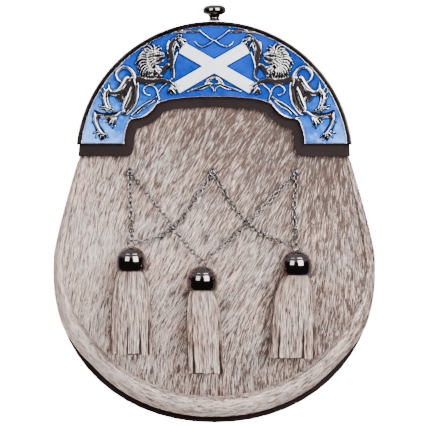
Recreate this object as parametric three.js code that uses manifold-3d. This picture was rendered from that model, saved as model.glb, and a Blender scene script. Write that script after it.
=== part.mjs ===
// A sporran: a hide pouch worn at the front of a kilt, with a cast and enamelled cantle over its mouth,
// a domed front panel, three tassels on chains, and a leather back with an opening, a flap and strap loops.
// Millimetres, +X to the right seen from the front, +Y to the back, +Z up.
// The strap passes between the back panel and its two loops, and the origin is there, on the centre line.
import * as THREE from 'three';
import { mergeVertices } from 'three/addons/utils/BufferGeometryUtils.js';
import Module from 'manifold-3d';

const wasm = await Module();
wasm.setup();

// Sizes of the pouch. Heights are measured from the spring line, the level of the centre of the cantle's arc,
// and depths forward from the back face of the back panel.
const CANTLE_RADIUS = 81.1;
const BODY_WIDTH = 190;
const BODY_DROP = 155.1;
const WIDEST_DROP = 57.5;
const ROUND_DROP = 66.3;
const JOIN_UP = 2.4;
const POUCH_DEPTH = 26;
const BELLY_BULGE = 14;
const BULGE_TOP_UP = 11;
const BULGE_POWER = 2.4;
const HANG_UP = 38;

// Walls, the gap that is kept between pieces, and the pile of hair that what lies on the front rests on
const GAP = 0.3;
const PILE = 0.6;
const PANEL_WALL = 2.2;
const HIDE_WALL = 3;
const GUSSET_WALL = 2.4;
const TOP_GUSSET_WALL = 2;
const SKIRT_WALL = 1.1;

// The back panel's edge that shows round the hide, and the gusset's band that shows round the front panel
const EDGE_SIDE = 1;
const EDGE_BOTTOM = 3.5;
const EDGE_TOP = 0.7;
const BAND_SIDE = 7;
const BAND_BOTTOM = 17.3;
const SEAM_DIP = 1.4;
const THINNEST = 0.12;

// The cantle, its leather yoke and its enamel
const CANTLE_END_UP = 9.1;
const CANTLE_WALL = 2.6;
const RIM_WIDTH = 2.4;
const RIM_RISE = 0.9;
const RIM_FLAT = { from: 0.3, to: 0.7 };
const SKIRT_DEPTH = 8;
const BORDER_WIDTH = 1.3;
const YOKE_WALL = 2;
const YOKE_SHOWS = 5.5;
const YOKE_DROP = 7;
const YOKE_LIFT = 1.6;
const YOKE_CORNER = 3;
const ENAMEL_WALL = 1.2;
const SALTIRE_WALL = 0.6;
const SALTIRE_UP = 54.8;
const SALTIRE_ARM = 21;
const SALTIRE_BAR = 7.3;
const SALTIRE_TILT = THREE.MathUtils.degToRad(30);
const LOW_RELIEF = 1.5;
const HIGH_RELIEF = 2.3;

// The finial knob on top of the cantle
const KNOB_HEIGHT = 9.4;
const KNOB_RADIUS = 7;

// The chains' staples, the bells and the tassels
const STAPLE_UP = -7.2;
const STAPLE_RADIUS = 2.6;
const RING_RADIUS = 1.9;
const RING_WIRE = 0.55;
const WASHER_RISE = 1.5;
const CHAIN_RADIUS = 1.5;
const CHAIN_END = 5.2;
const CHAIN_OVER = 4;
const CHAIN_CLIMB = { from: 0.72, share: 0.7 };
const BELL_RADIUS = 9.1;
const BELL_HEIGHT = 14.4;
const BELL_WALL = 1;
const BELL_LIP = 3;
const TASSEL_LENGTH = 48;
const TASSEL_DEPTH = 5.6;
const LOCK_WALL = 2.6;
const LOCKS = 11;
const LOCK_OVERLAP = 1.12;
const LOCK_PARTING = 0.9;

// The back: mouth, flap, stud and strap loops
const MOUTH_WIDTH = 110;
const MOUTH_TOP = 4;
const MOUTH_HEIGHT = 26;
const MOUTH_TAPER = 0.88;
const FLAP_WALL = 1.8;
const FLAP_LAP = 10;
const FLAP_TONGUE = 16;
const STUD_RADIUS = 6.5;
const STUD_HEIGHT = 2.5;
const STUD_POST = 2.5;
const LOOP_ACROSS = 38;
const LOOP_WIDTH = 20;
const LOOP_HEIGHT = 40;
const LOOP_FOOT = 6;
const LOOP_RISE = 6;
const LOOP_WALL = 2;
const LOOP_BEND = 0.6;

// How finely curves are cut
const ARC_STEPS = 10;
const FLANK_STEPS = 6;
const BELLY_STEPS = 14;
const RIM_STEPS = 32;
const TURN_SIDES = 14;
const WASHER_SIDES = 10;
const RING_SIDES = 8;
const WIRE_SIDES = 5;
const CHAIN_STEPS = 8;
const CHAIN_SIDES = 8;
const HOLE_SIDES = 12;

// The inner edge of the cantle from an end up to the middle, as shares of its radius
const CANTLE_INNER_EDGE = [
  { across: 0.647, up: 0.112 },
  { across: 0.636, up: 0.202 },
  { across: 0.621, up: 0.248 },
  { across: 0.602, up: 0.285 },
  { across: 0.544, up: 0.298 },
  { across: 0.481, up: 0.326 },
  { across: 0.44, up: 0.365 },
  { across: 0.409, up: 0.401 },
  { across: 0.366, up: 0.417 },
  { across: 0.293, up: 0.434 },
  { across: 0, up: 0.451 },
];

// The gusset's roll from the front seam to the back edge: share of the way out, share of the depth,
// and rise as a share of the band's width
const GUSSET_ROLL = [
  { out: 0, deep: 1, rise: -0.1 },
  { out: 0.1, deep: 1, rise: 0 },
  { out: 0.3, deep: 1, rise: 0.03 },
  { out: 0.52, deep: 0.96, rise: 0.02 },
  { out: 0.72, deep: 0.82, rise: 0 },
  { out: 0.88, deep: 0.58, rise: 0 },
  { out: 0.97, deep: 0.3, rise: 0 },
  { out: 1, deep: 0, rise: 0 },
];

// Rings of the front panel, as shares of the way from the belly's middle to where its bulge ends.
// The seam's own ring comes outside them, and the bulge ends at most this share of the way to it.
const BULGE_RINGS = [0.22, 0.44, 0.64, 0.82, 0.94, 1];
const INSIDE_RINGS = [1, 0.72, 0.38];
const BULGE_REACH = 0.93;

// A bell from its top to its lip, as shares of its radius and height
const BELL_PROFILE = [
  { out: 0.36, up: 0.97 },
  { out: 0.66, up: 0.85 },
  { out: 0.88, up: 0.62 },
  { out: 1, up: 0.3 },
  { out: 1, up: 0.16 },
  { out: 0.92, up: 0.07 },
  { out: 0.92, up: 0 },
];

// The knob from its foot to its top, as shares of its radius and height
const KNOB_PROFILE = [
  { out: 0.5, up: 0 },
  { out: 0.5, up: 0.07 },
  { out: 0.4, up: 0.2 },
  { out: 0.46, up: 0.36 },
  { out: 0.86, up: 0.47 },
  { out: 1, up: 0.62 },
  { out: 0.96, up: 0.76 },
  { out: 0.66, up: 0.92 },
  { out: 0.3, up: 1 },
];

// The flap's stud from its edge to its crown, and a staple's washer, in the same way
const STUD_PROFILE = [
  { out: 1, up: 0 },
  { out: 1, up: 0.32 },
  { out: 0.75, up: 0.76 },
  { out: 0.35, up: 0.96 },
  { out: 0, up: 1 },
];
const WASHER_PROFILE = [
  { out: 0, up: 0 },
  { out: 1, up: 0 },
  { out: 1, up: 0.47 },
  { out: 0.45, up: 1 },
  { out: 0, up: 1 },
];

// A tassel from inside its bell to its cut end: share of its length, and share of the way that its outline
// has spread there from the bell's mouth to the cut end
const TASSEL_SECTIONS = [
  { down: -0.12, spread: 0 },
  { down: 0, spread: 0 },
  { down: 0.22, spread: 0.5 },
  { down: 1, spread: 1 },
];

// Where each bell's top hangs, as shares of the pouch's half width and drop, and how far its tassel
// spreads to the left and right of the bell's middle, as shares of the bell's radius
const TASSELS = [
  { side: 'left', across: -0.508, down: 0.327, left: 1.418, right: 1.418 },
  { side: 'centre', across: -0.074, down: 0.399, left: 0.978, right: 1.484 },
  { side: 'right', across: 0.503, down: 0.342, left: 1.802, right: 1.33 },
];

// The staples, across in the same way
const STAPLES = [
  { side: 'left', across: -0.52 },
  { side: 'centre', across: -0.009 },
  { side: 'right', across: 0.503 },
];

// The chains: from which staple to which bell, which pass over the others, and two way points each,
// as shares of the half width and drop
const CHAINS = [
  { from: 'left', to: 'left', over: 0, by: [
    { across: -0.516, down: 0.152 },
    { across: -0.508, down: 0.239 },
  ] },
  { from: 'left', to: 'centre', over: 1, by: [
    { across: -0.344, down: 0.182 },
    { across: -0.205, down: 0.294 },
  ] },
  { from: 'centre', to: 'left', over: 0, by: [
    { across: -0.176, down: 0.203 },
    { across: -0.315, down: 0.282 },
  ] },
  { from: 'centre', to: 'right', over: 0, by: [
    { across: 0.158, down: 0.206 },
    { across: 0.296, down: 0.279 },
  ] },
  { from: 'right', to: 'centre', over: 1, by: [
    { across: 0.276, down: 0.197 },
    { across: 0.069, down: 0.324 },
  ] },
  { from: 'right', to: 'right', over: 0, by: [
    { across: 0.498, down: 0.143 },
    { across: 0.492, down: 0.226 },
  ] },
];

// The left lion's limbs as strokes that taper: place and width as shares of the cantle's radius,
// counted from the middle towards the side. The other lion mirrors it.
const LION_LIMBS = [
  { stroke: 'trunk', across: 0.46, up: 0.6, wide: 0.15 },
  { stroke: 'trunk', across: 0.55, up: 0.54, wide: 0.13 },
  { stroke: 'trunk', across: 0.59, up: 0.47, wide: 0.11 },
  { stroke: 'trunk', across: 0.6, up: 0.42, wide: 0.1 },
  { stroke: 'raised foreleg', across: 0.34, up: 0.62, wide: 0.08 },
  { stroke: 'raised foreleg', across: 0.31, up: 0.72, wide: 0.07 },
  { stroke: 'raised foreleg', across: 0.28, up: 0.83, wide: 0.06 },
  { stroke: 'raised foreleg', across: 0.2, up: 0.84, wide: 0.06 },
  { stroke: 'lower foreleg', across: 0.46, up: 0.59, wide: 0.09 },
  { stroke: 'lower foreleg', across: 0.36, up: 0.58, wide: 0.07 },
  { stroke: 'lower foreleg', across: 0.29, up: 0.56, wide: 0.06 },
  { stroke: 'lower foreleg', across: 0.26, up: 0.51, wide: 0.07 },
  { stroke: 'front thigh', across: 0.61, up: 0.5, wide: 0.11 },
  { stroke: 'front thigh', across: 0.7, up: 0.51, wide: 0.08 },
  { stroke: 'front thigh', across: 0.77, up: 0.53, wide: 0.05 },
  { stroke: 'front shank', across: 0.77, up: 0.54, wide: 0.05 },
  { stroke: 'front shank', across: 0.775, up: 0.45, wide: 0.045 },
  { stroke: 'front shank', across: 0.77, up: 0.37, wide: 0.09 },
  { stroke: 'rear thigh', across: 0.6, up: 0.44, wide: 0.11 },
  { stroke: 'rear thigh', across: 0.65, up: 0.35, wide: 0.08 },
  { stroke: 'rear thigh', across: 0.71, up: 0.3, wide: 0.06 },
  { stroke: 'rear shank', across: 0.69, up: 0.3, wide: 0.06 },
  { stroke: 'rear shank', across: 0.79, up: 0.3, wide: 0.05 },
  { stroke: 'rear shank', across: 0.84, up: 0.31, wide: 0.05 },
  { stroke: 'rear foot', across: 0.84, up: 0.32, wide: 0.05 },
  { stroke: 'rear foot', across: 0.84, up: 0.24, wide: 0.055 },
  { stroke: 'rear foot', across: 0.81, up: 0.18, wide: 0.1 },
  { stroke: 'muzzle', across: 0.4, up: 0.74, wide: 0.09 },
  { stroke: 'muzzle', across: 0.34, up: 0.735, wide: 0.05 },
  { stroke: 'jaw', across: 0.42, up: 0.69, wide: 0.07 },
  { stroke: 'jaw', across: 0.355, up: 0.685, wide: 0.035 },
];

// Its tail, the scrolls, the leaves and the knot in the middle, in the same way, in lower relief
const SCROLLS = [
  { stroke: 'tail', across: 0.57, up: 0.58, wide: 0.03 },
  { stroke: 'tail', across: 0.565, up: 0.64, wide: 0.03 },
  { stroke: 'tail', across: 0.61, up: 0.675, wide: 0.03 },
  { stroke: 'tail', across: 0.67, up: 0.665, wide: 0.03 },
  { stroke: 'tail', across: 0.7, up: 0.62, wide: 0.03 },
  { stroke: 'tail', across: 0.66, up: 0.58, wide: 0.03 },
  { stroke: 'tail', across: 0.61, up: 0.57, wide: 0.03 },
  { stroke: 'tail tuft', across: 0.7, up: 0.52, wide: 0.06 },
  { stroke: 'tail tuft', across: 0.745, up: 0.58, wide: 0.02 },
  { stroke: 'top stem', across: 0.25, up: 0.86, wide: 0.03 },
  { stroke: 'top stem', across: 0.24, up: 0.915, wide: 0.03 },
  { stroke: 'top stem', across: 0.11, up: 0.93, wide: 0.035 },
  { stroke: 'top stem', across: 0.02, up: 0.865, wide: 0.03 },
  { stroke: 'top stem', across: -0.06, up: 0.835, wide: 0.025 },
  { stroke: 'top stem', across: -0.13, up: 0.845, wide: 0.015 },
  { stroke: 'leaf', across: 0.6, up: 0.29, wide: 0.02 },
  { stroke: 'leaf', across: 0.52, up: 0.34, wide: 0.045 },
  { stroke: 'leaf', across: 0.41, up: 0.405, wide: 0.02 },
  { stroke: 'curl stem', across: 0.41, up: 0.4, wide: 0.02 },
  { stroke: 'curl stem', across: 0.4, up: 0.48, wide: 0.02 },
  { stroke: 'curl stem', across: 0.36, up: 0.54, wide: 0.02 },
  { stroke: 'curl', across: 0.4, up: 0.49, wide: 0.018 },
  { stroke: 'curl', across: 0.44, up: 0.545, wide: 0.018 },
  { stroke: 'curl', across: 0.49, up: 0.54, wide: 0.018 },
  { stroke: 'curl', across: 0.5, up: 0.5, wide: 0.018 },
  { stroke: 'curl', across: 0.46, up: 0.475, wide: 0.018 },
  { stroke: 'curl', across: 0.42, up: 0.5, wide: 0.018 },
  { stroke: 'knot wing', across: 0, up: 0.475, wide: 0.02 },
  { stroke: 'knot wing', across: 0.07, up: 0.53, wide: 0.02 },
  { stroke: 'knot wing', across: 0.2, up: 0.495, wide: 0.014 },
  { stroke: 'knot loop', across: 0.13, up: 0.5, wide: 0.018 },
  { stroke: 'knot loop', across: 0.06, up: 0.48, wide: 0.018 },
  { stroke: 'knot loop', across: -0.04, up: 0.51, wide: 0.02 },
  { stroke: 'knot loop', across: -0.03, up: 0.56, wide: 0.02 },
  { stroke: 'knot loop', across: 0.02, up: 0.575, wide: 0.02 },
  { stroke: 'knot foot', across: 0, up: 0.44, wide: 0.03 },
  { stroke: 'knot foot', across: 0, up: 0.5, wide: 0.025 },
];

// The ruffled mane round a lion's head, as shares of the cantle's radius
const MANE = { across: 0.445, up: 0.715, radius: 0.125, tufts: 9, tuft: 0.16 };

// The colours and finishes
const LIGHT_HIDE = new THREE.MeshStandardMaterial({ color: 0xb4a89a, roughness: 0.85, metalness: 0 });
const DARK_LEATHER = new THREE.MeshStandardMaterial({ color: 0x1d1312, roughness: 0.55, metalness: 0 });
const CAST_METAL = new THREE.MeshStandardMaterial({ color: 0x6d6a68, roughness: 0.2, metalness: 1 });
const BLACK_CHROME = new THREE.MeshStandardMaterial({ color: 0x3a3a3d, roughness: 0.12, metalness: 1 });
const CHAIN_METAL = new THREE.MeshStandardMaterial({ color: 0x4a4644, roughness: 0.35, metalness: 1 });
const BLUE_ENAMEL = new THREE.MeshStandardMaterial({ color: 0x1f66d0, roughness: 0.15, metalness: 0 });
const WHITE_ENAMEL = new THREE.MeshStandardMaterial({ color: 0xe9eaf0, roughness: 0.2, metalness: 0 });

// Places that follow from the sizes
const halfWidth = BODY_WIDTH / 2;
const leatherRadius = CANTLE_RADIUS - SKIRT_WALL - GAP;
const panelFront = PANEL_WALL + GAP;
const yokeBack = POUCH_DEPTH + YOKE_LIFT;
const cantleBack = yokeBack + YOKE_WALL + GAP;
const cantleFront = cantleBack + CANTLE_WALL;
const enamelFront = cantleBack + ENAMEL_WALL;
const reliefBack = enamelFront + GAP;
const flank = { power: 1.2, top: JOIN_UP - GAP / 2 };
const lipRadius = BELL_RADIUS * BELL_PROFILE.at(-1).out;
const flapFold = MOUTH_TOP - MOUTH_HEIGHT - FLAP_LAP;
const staples = STAPLES.map(({ side, across }) => ({ side, x: across * halfWidth, z: STAPLE_UP }));
const tassels = TASSELS.map(({ side, across, down, left, right }) => ({
  side,
  x: across * halfWidth,
  top: -down * BODY_DROP,
  left: left * BELL_RADIUS,
  right: right * BELL_RADIUS,
}));

// Outlines of the pouch seen from the front: radius of the top arc, half width, lowest point, the level
// where the belly starts to round, and the power of its curve
const PANEL_EDGE = { arc: leatherRadius, wide: halfWidth, drop: BODY_DROP, round: ROUND_DROP, power: 2.1 };
const GUSSET_EDGE = {
  arc: leatherRadius - EDGE_TOP,
  wide: halfWidth - EDGE_SIDE,
  drop: BODY_DROP - EDGE_BOTTOM,
  round: ROUND_DROP,
  power: 2.1,
};
const FRONT_EDGE = {
  arc: GUSSET_EDGE.arc - TOP_GUSSET_WALL - GAP,
  wide: halfWidth - BAND_SIDE,
  drop: BODY_DROP - BAND_BOTTOM,
  round: WIDEST_DROP,
  power: 2,
};

function lerp(a, b, share) {
  return a + (b - a) * share;
}

// The right half of an outline's top arc, from the middle down to the join
function arcStations(edge, steps = ARC_STEPS) {
  const low = Math.asin((JOIN_UP + GAP / 2) / edge.arc);
  return Array.from({ length: steps + 1 }, (_, i) => {
    const angle = lerp(Math.PI / 2, low, i / steps);
    return { x: edge.arc * Math.cos(angle), z: edge.arc * Math.sin(angle) };
  });
}

// The right half of its flank and belly, from the join down to the lowest point
function bellyStations(edge) {
  const start = Math.sqrt(edge.arc ** 2 - JOIN_UP ** 2);
  const flanks = Array.from({ length: FLANK_STEPS }, (_, i) => {
    const z = lerp(flank.top, -WIDEST_DROP, i / FLANK_STEPS);
    const share = (z + WIDEST_DROP) / (flank.top + WIDEST_DROP);
    return { x: edge.wide - (edge.wide - start) * share ** flank.power, z };
  });
  const belly = Array.from({ length: BELLY_STEPS + 1 }, (_, i) => {
    const angle = (Math.PI / 2) * (i / BELLY_STEPS);
    const across = Math.max(Math.cos(angle), 0) ** (2 / edge.power);
    const down = Math.sin(angle) ** (2 / edge.power);
    const z = -edge.round - (edge.drop - edge.round) * down;
    return { x: i === BELLY_STEPS ? 0 : edge.wide * across, z };
  });
  return [...flanks, ...belly];
}

// A right half that starts on the middle line, mirrored into a whole line from the left end to the right
function mirrored(half) {
  const left = half.map(({ x, z }) => ({ x: -x, z })).reverse();
  return [...left.slice(0, -1), ...half];
}

// The whole outline as a loop
function loop(edge) {
  const half = [...arcStations(edge), ...bellyStations(edge)];
  const left = half.slice(1, -1).map(({ x, z }) => ({ x: -x, z })).reverse();
  return [...half, ...left];
}

// How far out a place is on the front panel, from 0 in the belly's middle to 1 where its bulge ends
function outness(x, z) {
  const rise = z > -WIDEST_DROP ? WIDEST_DROP + BULGE_TOP_UP : FRONT_EDGE.drop - WIDEST_DROP;
  return Math.hypot(x / FRONT_EDGE.wide, (z + WIDEST_DROP) / rise);
}

// The bulge of the front panel, zero at its seam and under the cantle
function bulge(x, z) {
  return BELLY_BULGE * Math.max(0, 1 - outness(x, z) ** BULGE_POWER);
}

function frontDepth(x, z) {
  return POUCH_DEPTH + bulge(x, z);
}

// How far forward a round piece of this radius has to sit to clear the front panel
function seatDepth(x, z, radius) {
  const turns = Array.from({ length: WASHER_SIDES }, (_, i) => (2 * Math.PI * i) / WASHER_SIDES);
  const depths = turns.map((angle) => frontDepth(x + radius * Math.cos(angle), z + radius * Math.sin(angle)));
  return Math.max(...depths) + GAP;
}

function flipped([a, b, c]) {
  return [a, c, b];
}

// A closed surface from points and triangles, turned so that its faces point out
function closedGeometry(points, faces) {
  let volume = 0;
  for (const [a, b, c] of faces) {
    const [ax, ay, az] = points[a];
    const [bx, by, bz] = points[b];
    const [cx, cy, cz] = points[c];
    volume += ax * (by * cz - bz * cy) - ay * (bx * cz - bz * cx) + az * (bx * cy - by * cx);
  }
  const outward = volume < 0 ? faces.map(flipped) : faces;
  const geometry = new THREE.BufferGeometry();
  geometry.setAttribute('position', new THREE.Float32BufferAttribute(points.flat(), 3));
  geometry.setIndex(outward.flat());
  return geometry;
}

// The triangles between neighbouring rows of equally many points, each row a loop
function rowFaces(rows, columns) {
  const faces = [];
  for (let row = 0; row + 1 < rows; row += 1) {
    for (let column = 0; column < columns; column += 1) {
      const next = (column + 1) % columns;
      const a = row * columns + column;
      const b = row * columns + next;
      faces.push([a, b, b + columns], [a, b + columns, a + columns]);
    }
  }
  return faces;
}

// A band swept through sections, each a loop of points, with flat ends cut like the first section's plan
function sweptBand(sections, plan) {
  const columns = plan.length;
  const end = THREE.ShapeUtils.triangulateShape(plan, []);
  const first = THREE.ShapeUtils.isClockWise(plan) ? end : end.map(flipped);
  const offset = (sections.length - 1) * columns;
  const last = first.map(flipped).map((face) => face.map((corner) => corner + offset));
  return closedGeometry(sections.flat(), [...rowFaces(sections.length, columns), ...first, ...last]);
}

// A dished shell from rings of points, closed by a tip at each end
function dishedShell(rings, firstTip, lastTip) {
  const columns = rings[0].length;
  const faces = rowFaces(rings.length, columns);
  const points = [...rings.flat(), firstTip, lastTip];
  const last = (rings.length - 1) * columns;
  for (let column = 0; column < columns; column += 1) {
    const next = (column + 1) % columns;
    faces.push([next, column, points.length - 2], [last + column, last + next, points.length - 1]);
  }
  return closedGeometry(points, faces);
}

// A flat plate with an outline seen from the front, between two depths
function plate(outline, from, to, holes = []) {
  const flat = outline.map(({ x, z }) => new THREE.Vector2(x, z));
  const shape = new THREE.Shape(THREE.ShapeUtils.isClockWise(flat) ? flat.reverse() : flat);
  shape.holes = holes.map((hole) => new THREE.Path(hole.map(({ x, z }) => new THREE.Vector2(x, z))));
  const geometry = new THREE.ExtrudeGeometry(shape, { depth: to - from, bevelEnabled: false });
  return geometry.rotateX(Math.PI / 2).translate(0, -from, 0);
}

// A table of shares at its real radius and height
function sized(table, radius, height) {
  return table.map(({ out, up }) => ({ out: out * radius, up: up * height }));
}

// A turned piece from a profile on its axis, standing along Z
function turned(profile, sides = TURN_SIDES) {
  const points = profile.map(({ out, up }) => new THREE.Vector2(out, up));
  return new THREE.LatheGeometry(points, sides).rotateX(Math.PI / 2);
}

// Solids for joining and cutting, and back
function solid(geometry) {
  const bare = geometry.clone();
  bare.deleteAttribute('normal');
  bare.deleteAttribute('uv');
  const merged = mergeVertices(bare, 1e-4);
  return new wasm.Manifold(new wasm.Mesh({
    numProp: 3,
    vertProperties: Float32Array.from(merged.attributes.position.array),
    triVerts: Uint32Array.from(merged.index.array),
  }));
}

function geometryOf(body) {
  const mesh = body.getMesh();
  const geometry = new THREE.BufferGeometry();
  geometry.setAttribute('position', new THREE.BufferAttribute(Float32Array.from(mesh.vertProperties), 3));
  geometry.setIndex(new THREE.BufferAttribute(Uint32Array.from(mesh.triVerts), 1));
  return geometry;
}

function joined(geometries) {
  return geometries.map(solid).reduce((whole, next) => whole.add(next));
}

// The back panel: one plain sheet of leather with the mouth cut through it
function backPanel() {
  const side = MOUTH_WIDTH / 2;
  const low = MOUTH_TOP - MOUTH_HEIGHT;
  const mouth = [
    { x: -side, z: MOUTH_TOP },
    { x: side, z: MOUTH_TOP },
    { x: side, z: lerp(MOUTH_TOP, low, 0.5) },
    { x: side * MOUTH_TAPER, z: low },
    { x: -side * MOUTH_TAPER, z: low },
    { x: -side, z: lerp(MOUTH_TOP, low, 0.5) },
  ];
  return plate(loop(PANEL_EDGE), 0, PANEL_WALL, [mouth]);
}

// The hide gusset: a rolled band from one end of the cantle, round the belly, to the other
function hideGusset() {
  const outer = mirrored(bellyStations(GUSSET_EDGE).reverse());
  const inner = mirrored(bellyStations(FRONT_EDGE).reverse());
  const depth = POUCH_DEPTH - panelFront;
  let plan = [];
  const sections = outer.map((edge, i) => {
    const seam = inner[i];
    const whole = Math.hypot(edge.x - seam.x, edge.z - seam.z);
    const band = whole - GAP;
    const way = { x: (edge.x - seam.x) / whole, z: (edge.z - seam.z) / whole };
    const roll = GUSSET_ROLL.map(({ out, deep, rise }) => ({
      r: band * out,
      d: panelFront + depth * deep + band * rise,
    }));
    const inside = roll.map(({ r, d }, k) => {
      const turn = (Math.PI / 2) * GUSSET_ROLL[k].out;
      const wall = { r: GUSSET_WALL * Math.sin(turn), d: GUSSET_WALL * Math.cos(turn) };
      return { r: Math.max(r - wall.r, r * THINNEST), d: d - wall.d };
    });
    const profile = [...roll, ...inside.reverse()];
    if (i === 0) plan = profile.map(({ r, d }) => new THREE.Vector2(r, d));
    return profile.map(({ r, d }) => [seam.x + way.x * (GAP + r), -d, seam.z + way.z * (GAP + r)]);
  });
  return sweptBand(sections, plan);
}

// The leather gusset over the top, inside the cantle's skirt
function topGusset() {
  const half = arcStations(GUSSET_EDGE);
  const outer = mirrored(half);
  const shrink = (GUSSET_EDGE.arc - TOP_GUSSET_WALL) / GUSSET_EDGE.arc;
  const sections = outer.map(({ x, z }) => [
    [x, -panelFront, z],
    [x, -POUCH_DEPTH, z],
    [x * shrink, -POUCH_DEPTH, z * shrink],
    [x * shrink, -panelFront, z * shrink],
  ]);
  const plan = [[0, 0], [0, 1], [1, 1], [1, 0]].map(([a, b]) => new THREE.Vector2(a, b));
  return sweptBand(sections, plan);
}

// The domed front panel of hide, hollow behind
function frontPanel() {
  const edge = loop(FRONT_EDGE);
  const seam = (back) => edge.map(({ x, z }) => {
    const dip = z < JOIN_UP ? SEAM_DIP : 0;
    return [x, back + dip - frontDepth(x, z), z];
  });
  const ring = (back) => (share) => edge.map((end) => {
    const way = share * Math.min(BULGE_REACH, 1 / outness(end.x, end.z));
    const place = { x: end.x * way, z: lerp(-WIDEST_DROP, end.z, way) };
    return [place.x, back - frontDepth(place.x, place.z), place.z];
  });
  const front = [...BULGE_RINGS.map(ring(0)), seam(0)];
  const inside = [seam(HIDE_WALL), ...INSIDE_RINGS.map(ring(HIDE_WALL))];
  const middle = POUCH_DEPTH + BELLY_BULGE;
  const tips = [-middle, HIDE_WALL - middle].map((y) => [0, y, -WIDEST_DROP]);
  return dishedShell([...front, ...inside], ...tips);
}

// A line moved sideways by a distance, with the steps that turn over taken out
function movedLine(points, distance) {
  const away = points.map((point, i) => {
    const before = points[Math.max(i - 1, 0)];
    const after = points[Math.min(i + 1, points.length - 1)];
    const legs = [[before, point], [point, after]].filter(([a, b]) => a !== b);
    const normals = legs.map(([a, b]) => {
      const run = Math.hypot(b.x - a.x, b.z - a.z);
      return { x: -(b.z - a.z) / run, z: (b.x - a.x) / run };
    });
    const sum = normals.reduce((a, b) => ({ x: a.x + b.x, z: a.z + b.z }));
    const length = Math.hypot(sum.x, sum.z);
    const reach = distance * normals.length / length;
    return { x: point.x + (sum.x / length) * reach, z: point.z + (sum.z / length) * reach };
  });
  return away.filter((point, i) => {
    if (i === 0 || i === away.length - 1) return true;
    const next = away[i + 1];
    const forward = (next.x - point.x) * (points[i + 1].x - points[i].x)
      + (next.z - point.z) * (points[i + 1].z - points[i].z);
    return forward > 0;
  });
}

// The arch of the cantle: outer radius, how far its inner edge moves into the opening, and its ends downwards
function arch(radius, inward, drop, corner = 0) {
  const low = CANTLE_END_UP - drop;
  const table = CANTLE_INNER_EDGE.map(({ across, up }) => ({
    x: across * CANTLE_RADIUS,
    z: up * CANTLE_RADIUS,
  }));
  const edge = movedLine(table, inward);
  const slope = (table[1].x - table[0].x) / (table[1].z - table[0].z);
  edge[0] = { x: edge[0].x + slope * (low - edge[0].z), z: low };
  edge[edge.length - 1] = { x: 0, z: CANTLE_INNER_EDGE.at(-1).up * CANTLE_RADIUS - inward };
  const foot = edge[0];
  const cut = corner * (1 - Math.SQRT1_2);
  const rounded = corner > 0
    ? [{ x: foot.x + corner, z: low }, { x: foot.x + cut, z: low + cut }, { x: foot.x, z: low + corner }]
    : [foot];
  const half = [...rounded, ...edge.slice(1)];
  const start = Math.asin(low / radius);
  const outer = Array.from({ length: RIM_STEPS + 1 }, (_, i) => {
    const angle = lerp(start, Math.PI - start, i / RIM_STEPS);
    return { x: radius * Math.cos(angle), z: radius * Math.sin(angle) };
  });
  const left = half.map(({ x, z }) => ({ x: -x, z }));
  return [...outer, ...left, ...half.slice(0, -1).reverse()];
}

function yoke() {
  return plate(arch(leatherRadius, YOKE_SHOWS, YOKE_DROP, YOKE_CORNER), yokeBack, yokeBack + YOKE_WALL);
}

// The enamelled plate that fills the cantle's frame
function enamelPlate() {
  const inset = BORDER_WIDTH + GAP;
  return plate(arch(CANTLE_RADIUS - RIM_WIDTH - GAP, -inset, -inset), cantleBack, enamelFront);
}

// A bar of the white cross, at one tilt, grown all round by a margin
function saltireBar(tilt, margin) {
  const half = { long: SALTIRE_ARM / Math.cos(SALTIRE_TILT) + margin, wide: SALTIRE_BAR / 2 + margin };
  const corners = [[-1, -1], [1, -1], [1, 1], [-1, 1]].map(([a, b]) => ({
    x: a * half.long * Math.cos(tilt) - b * half.wide * Math.sin(tilt),
    z: SALTIRE_UP + a * half.long * Math.sin(tilt) + b * half.wide * Math.cos(tilt),
  }));
  return plate(corners, reliefBack - margin * 2, reliefBack + SALTIRE_WALL + margin);
}

function saltire(margin) {
  return joined([saltireBar(SALTIRE_TILT, margin), saltireBar(-SALTIRE_TILT, margin)]);
}

// A tapering stroke of relief through its rows of a table
function stroke(rows, side, height) {
  const points = rows.map(({ across, up, wide }) => ({
    x: side * across * CANTLE_RADIUS,
    z: up * CANTLE_RADIUS,
    half: (wide * CANTLE_RADIUS) / 2,
  }));
  const ways = points.map((point, i) => {
    const before = points[Math.max(i - 1, 0)];
    const after = points[Math.min(i + 1, points.length - 1)];
    const run = Math.hypot(after.x - before.x, after.z - before.z);
    return { x: (after.x - before.x) / run, z: (after.z - before.z) / run };
  });
  const edgeAt = (turn) => points.map(({ x, z, half }, i) => ({
    x: x - turn * ways[i].z * half,
    z: z + turn * ways[i].x * half,
  }));
  const tip = (i, turn) => ({
    x: points[i].x + turn * ways[i].x * points[i].half,
    z: points[i].z + turn * ways[i].z * points[i].half,
  });
  const outline = [...edgeAt(1), tip(points.length - 1, 1), ...edgeAt(-1).reverse(), tip(0, -1)];
  return plate(outline, reliefBack, reliefBack + height);
}

// All the strokes of a table on one side of the cantle
function strokes(table, side, height) {
  const names = [...new Set(table.map((row) => row.stroke))];
  return names.map((name) => stroke(table.filter((row) => row.stroke === name), side, height));
}

function mane(side) {
  const count = MANE.tufts * 2;
  const outline = Array.from({ length: count }, (_, i) => {
    const radius = CANTLE_RADIUS * MANE.radius * (1 + MANE.tuft * (i % 2 ? -1 : 1));
    const angle = (2 * Math.PI * i) / count;
    return {
      x: side * (MANE.across * CANTLE_RADIUS + radius * Math.cos(angle)),
      z: MANE.up * CANTLE_RADIUS + radius * Math.sin(angle),
    };
  });
  return plate(outline, reliefBack, reliefBack + HIGH_RELIEF + RIM_RISE / 2);
}

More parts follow.
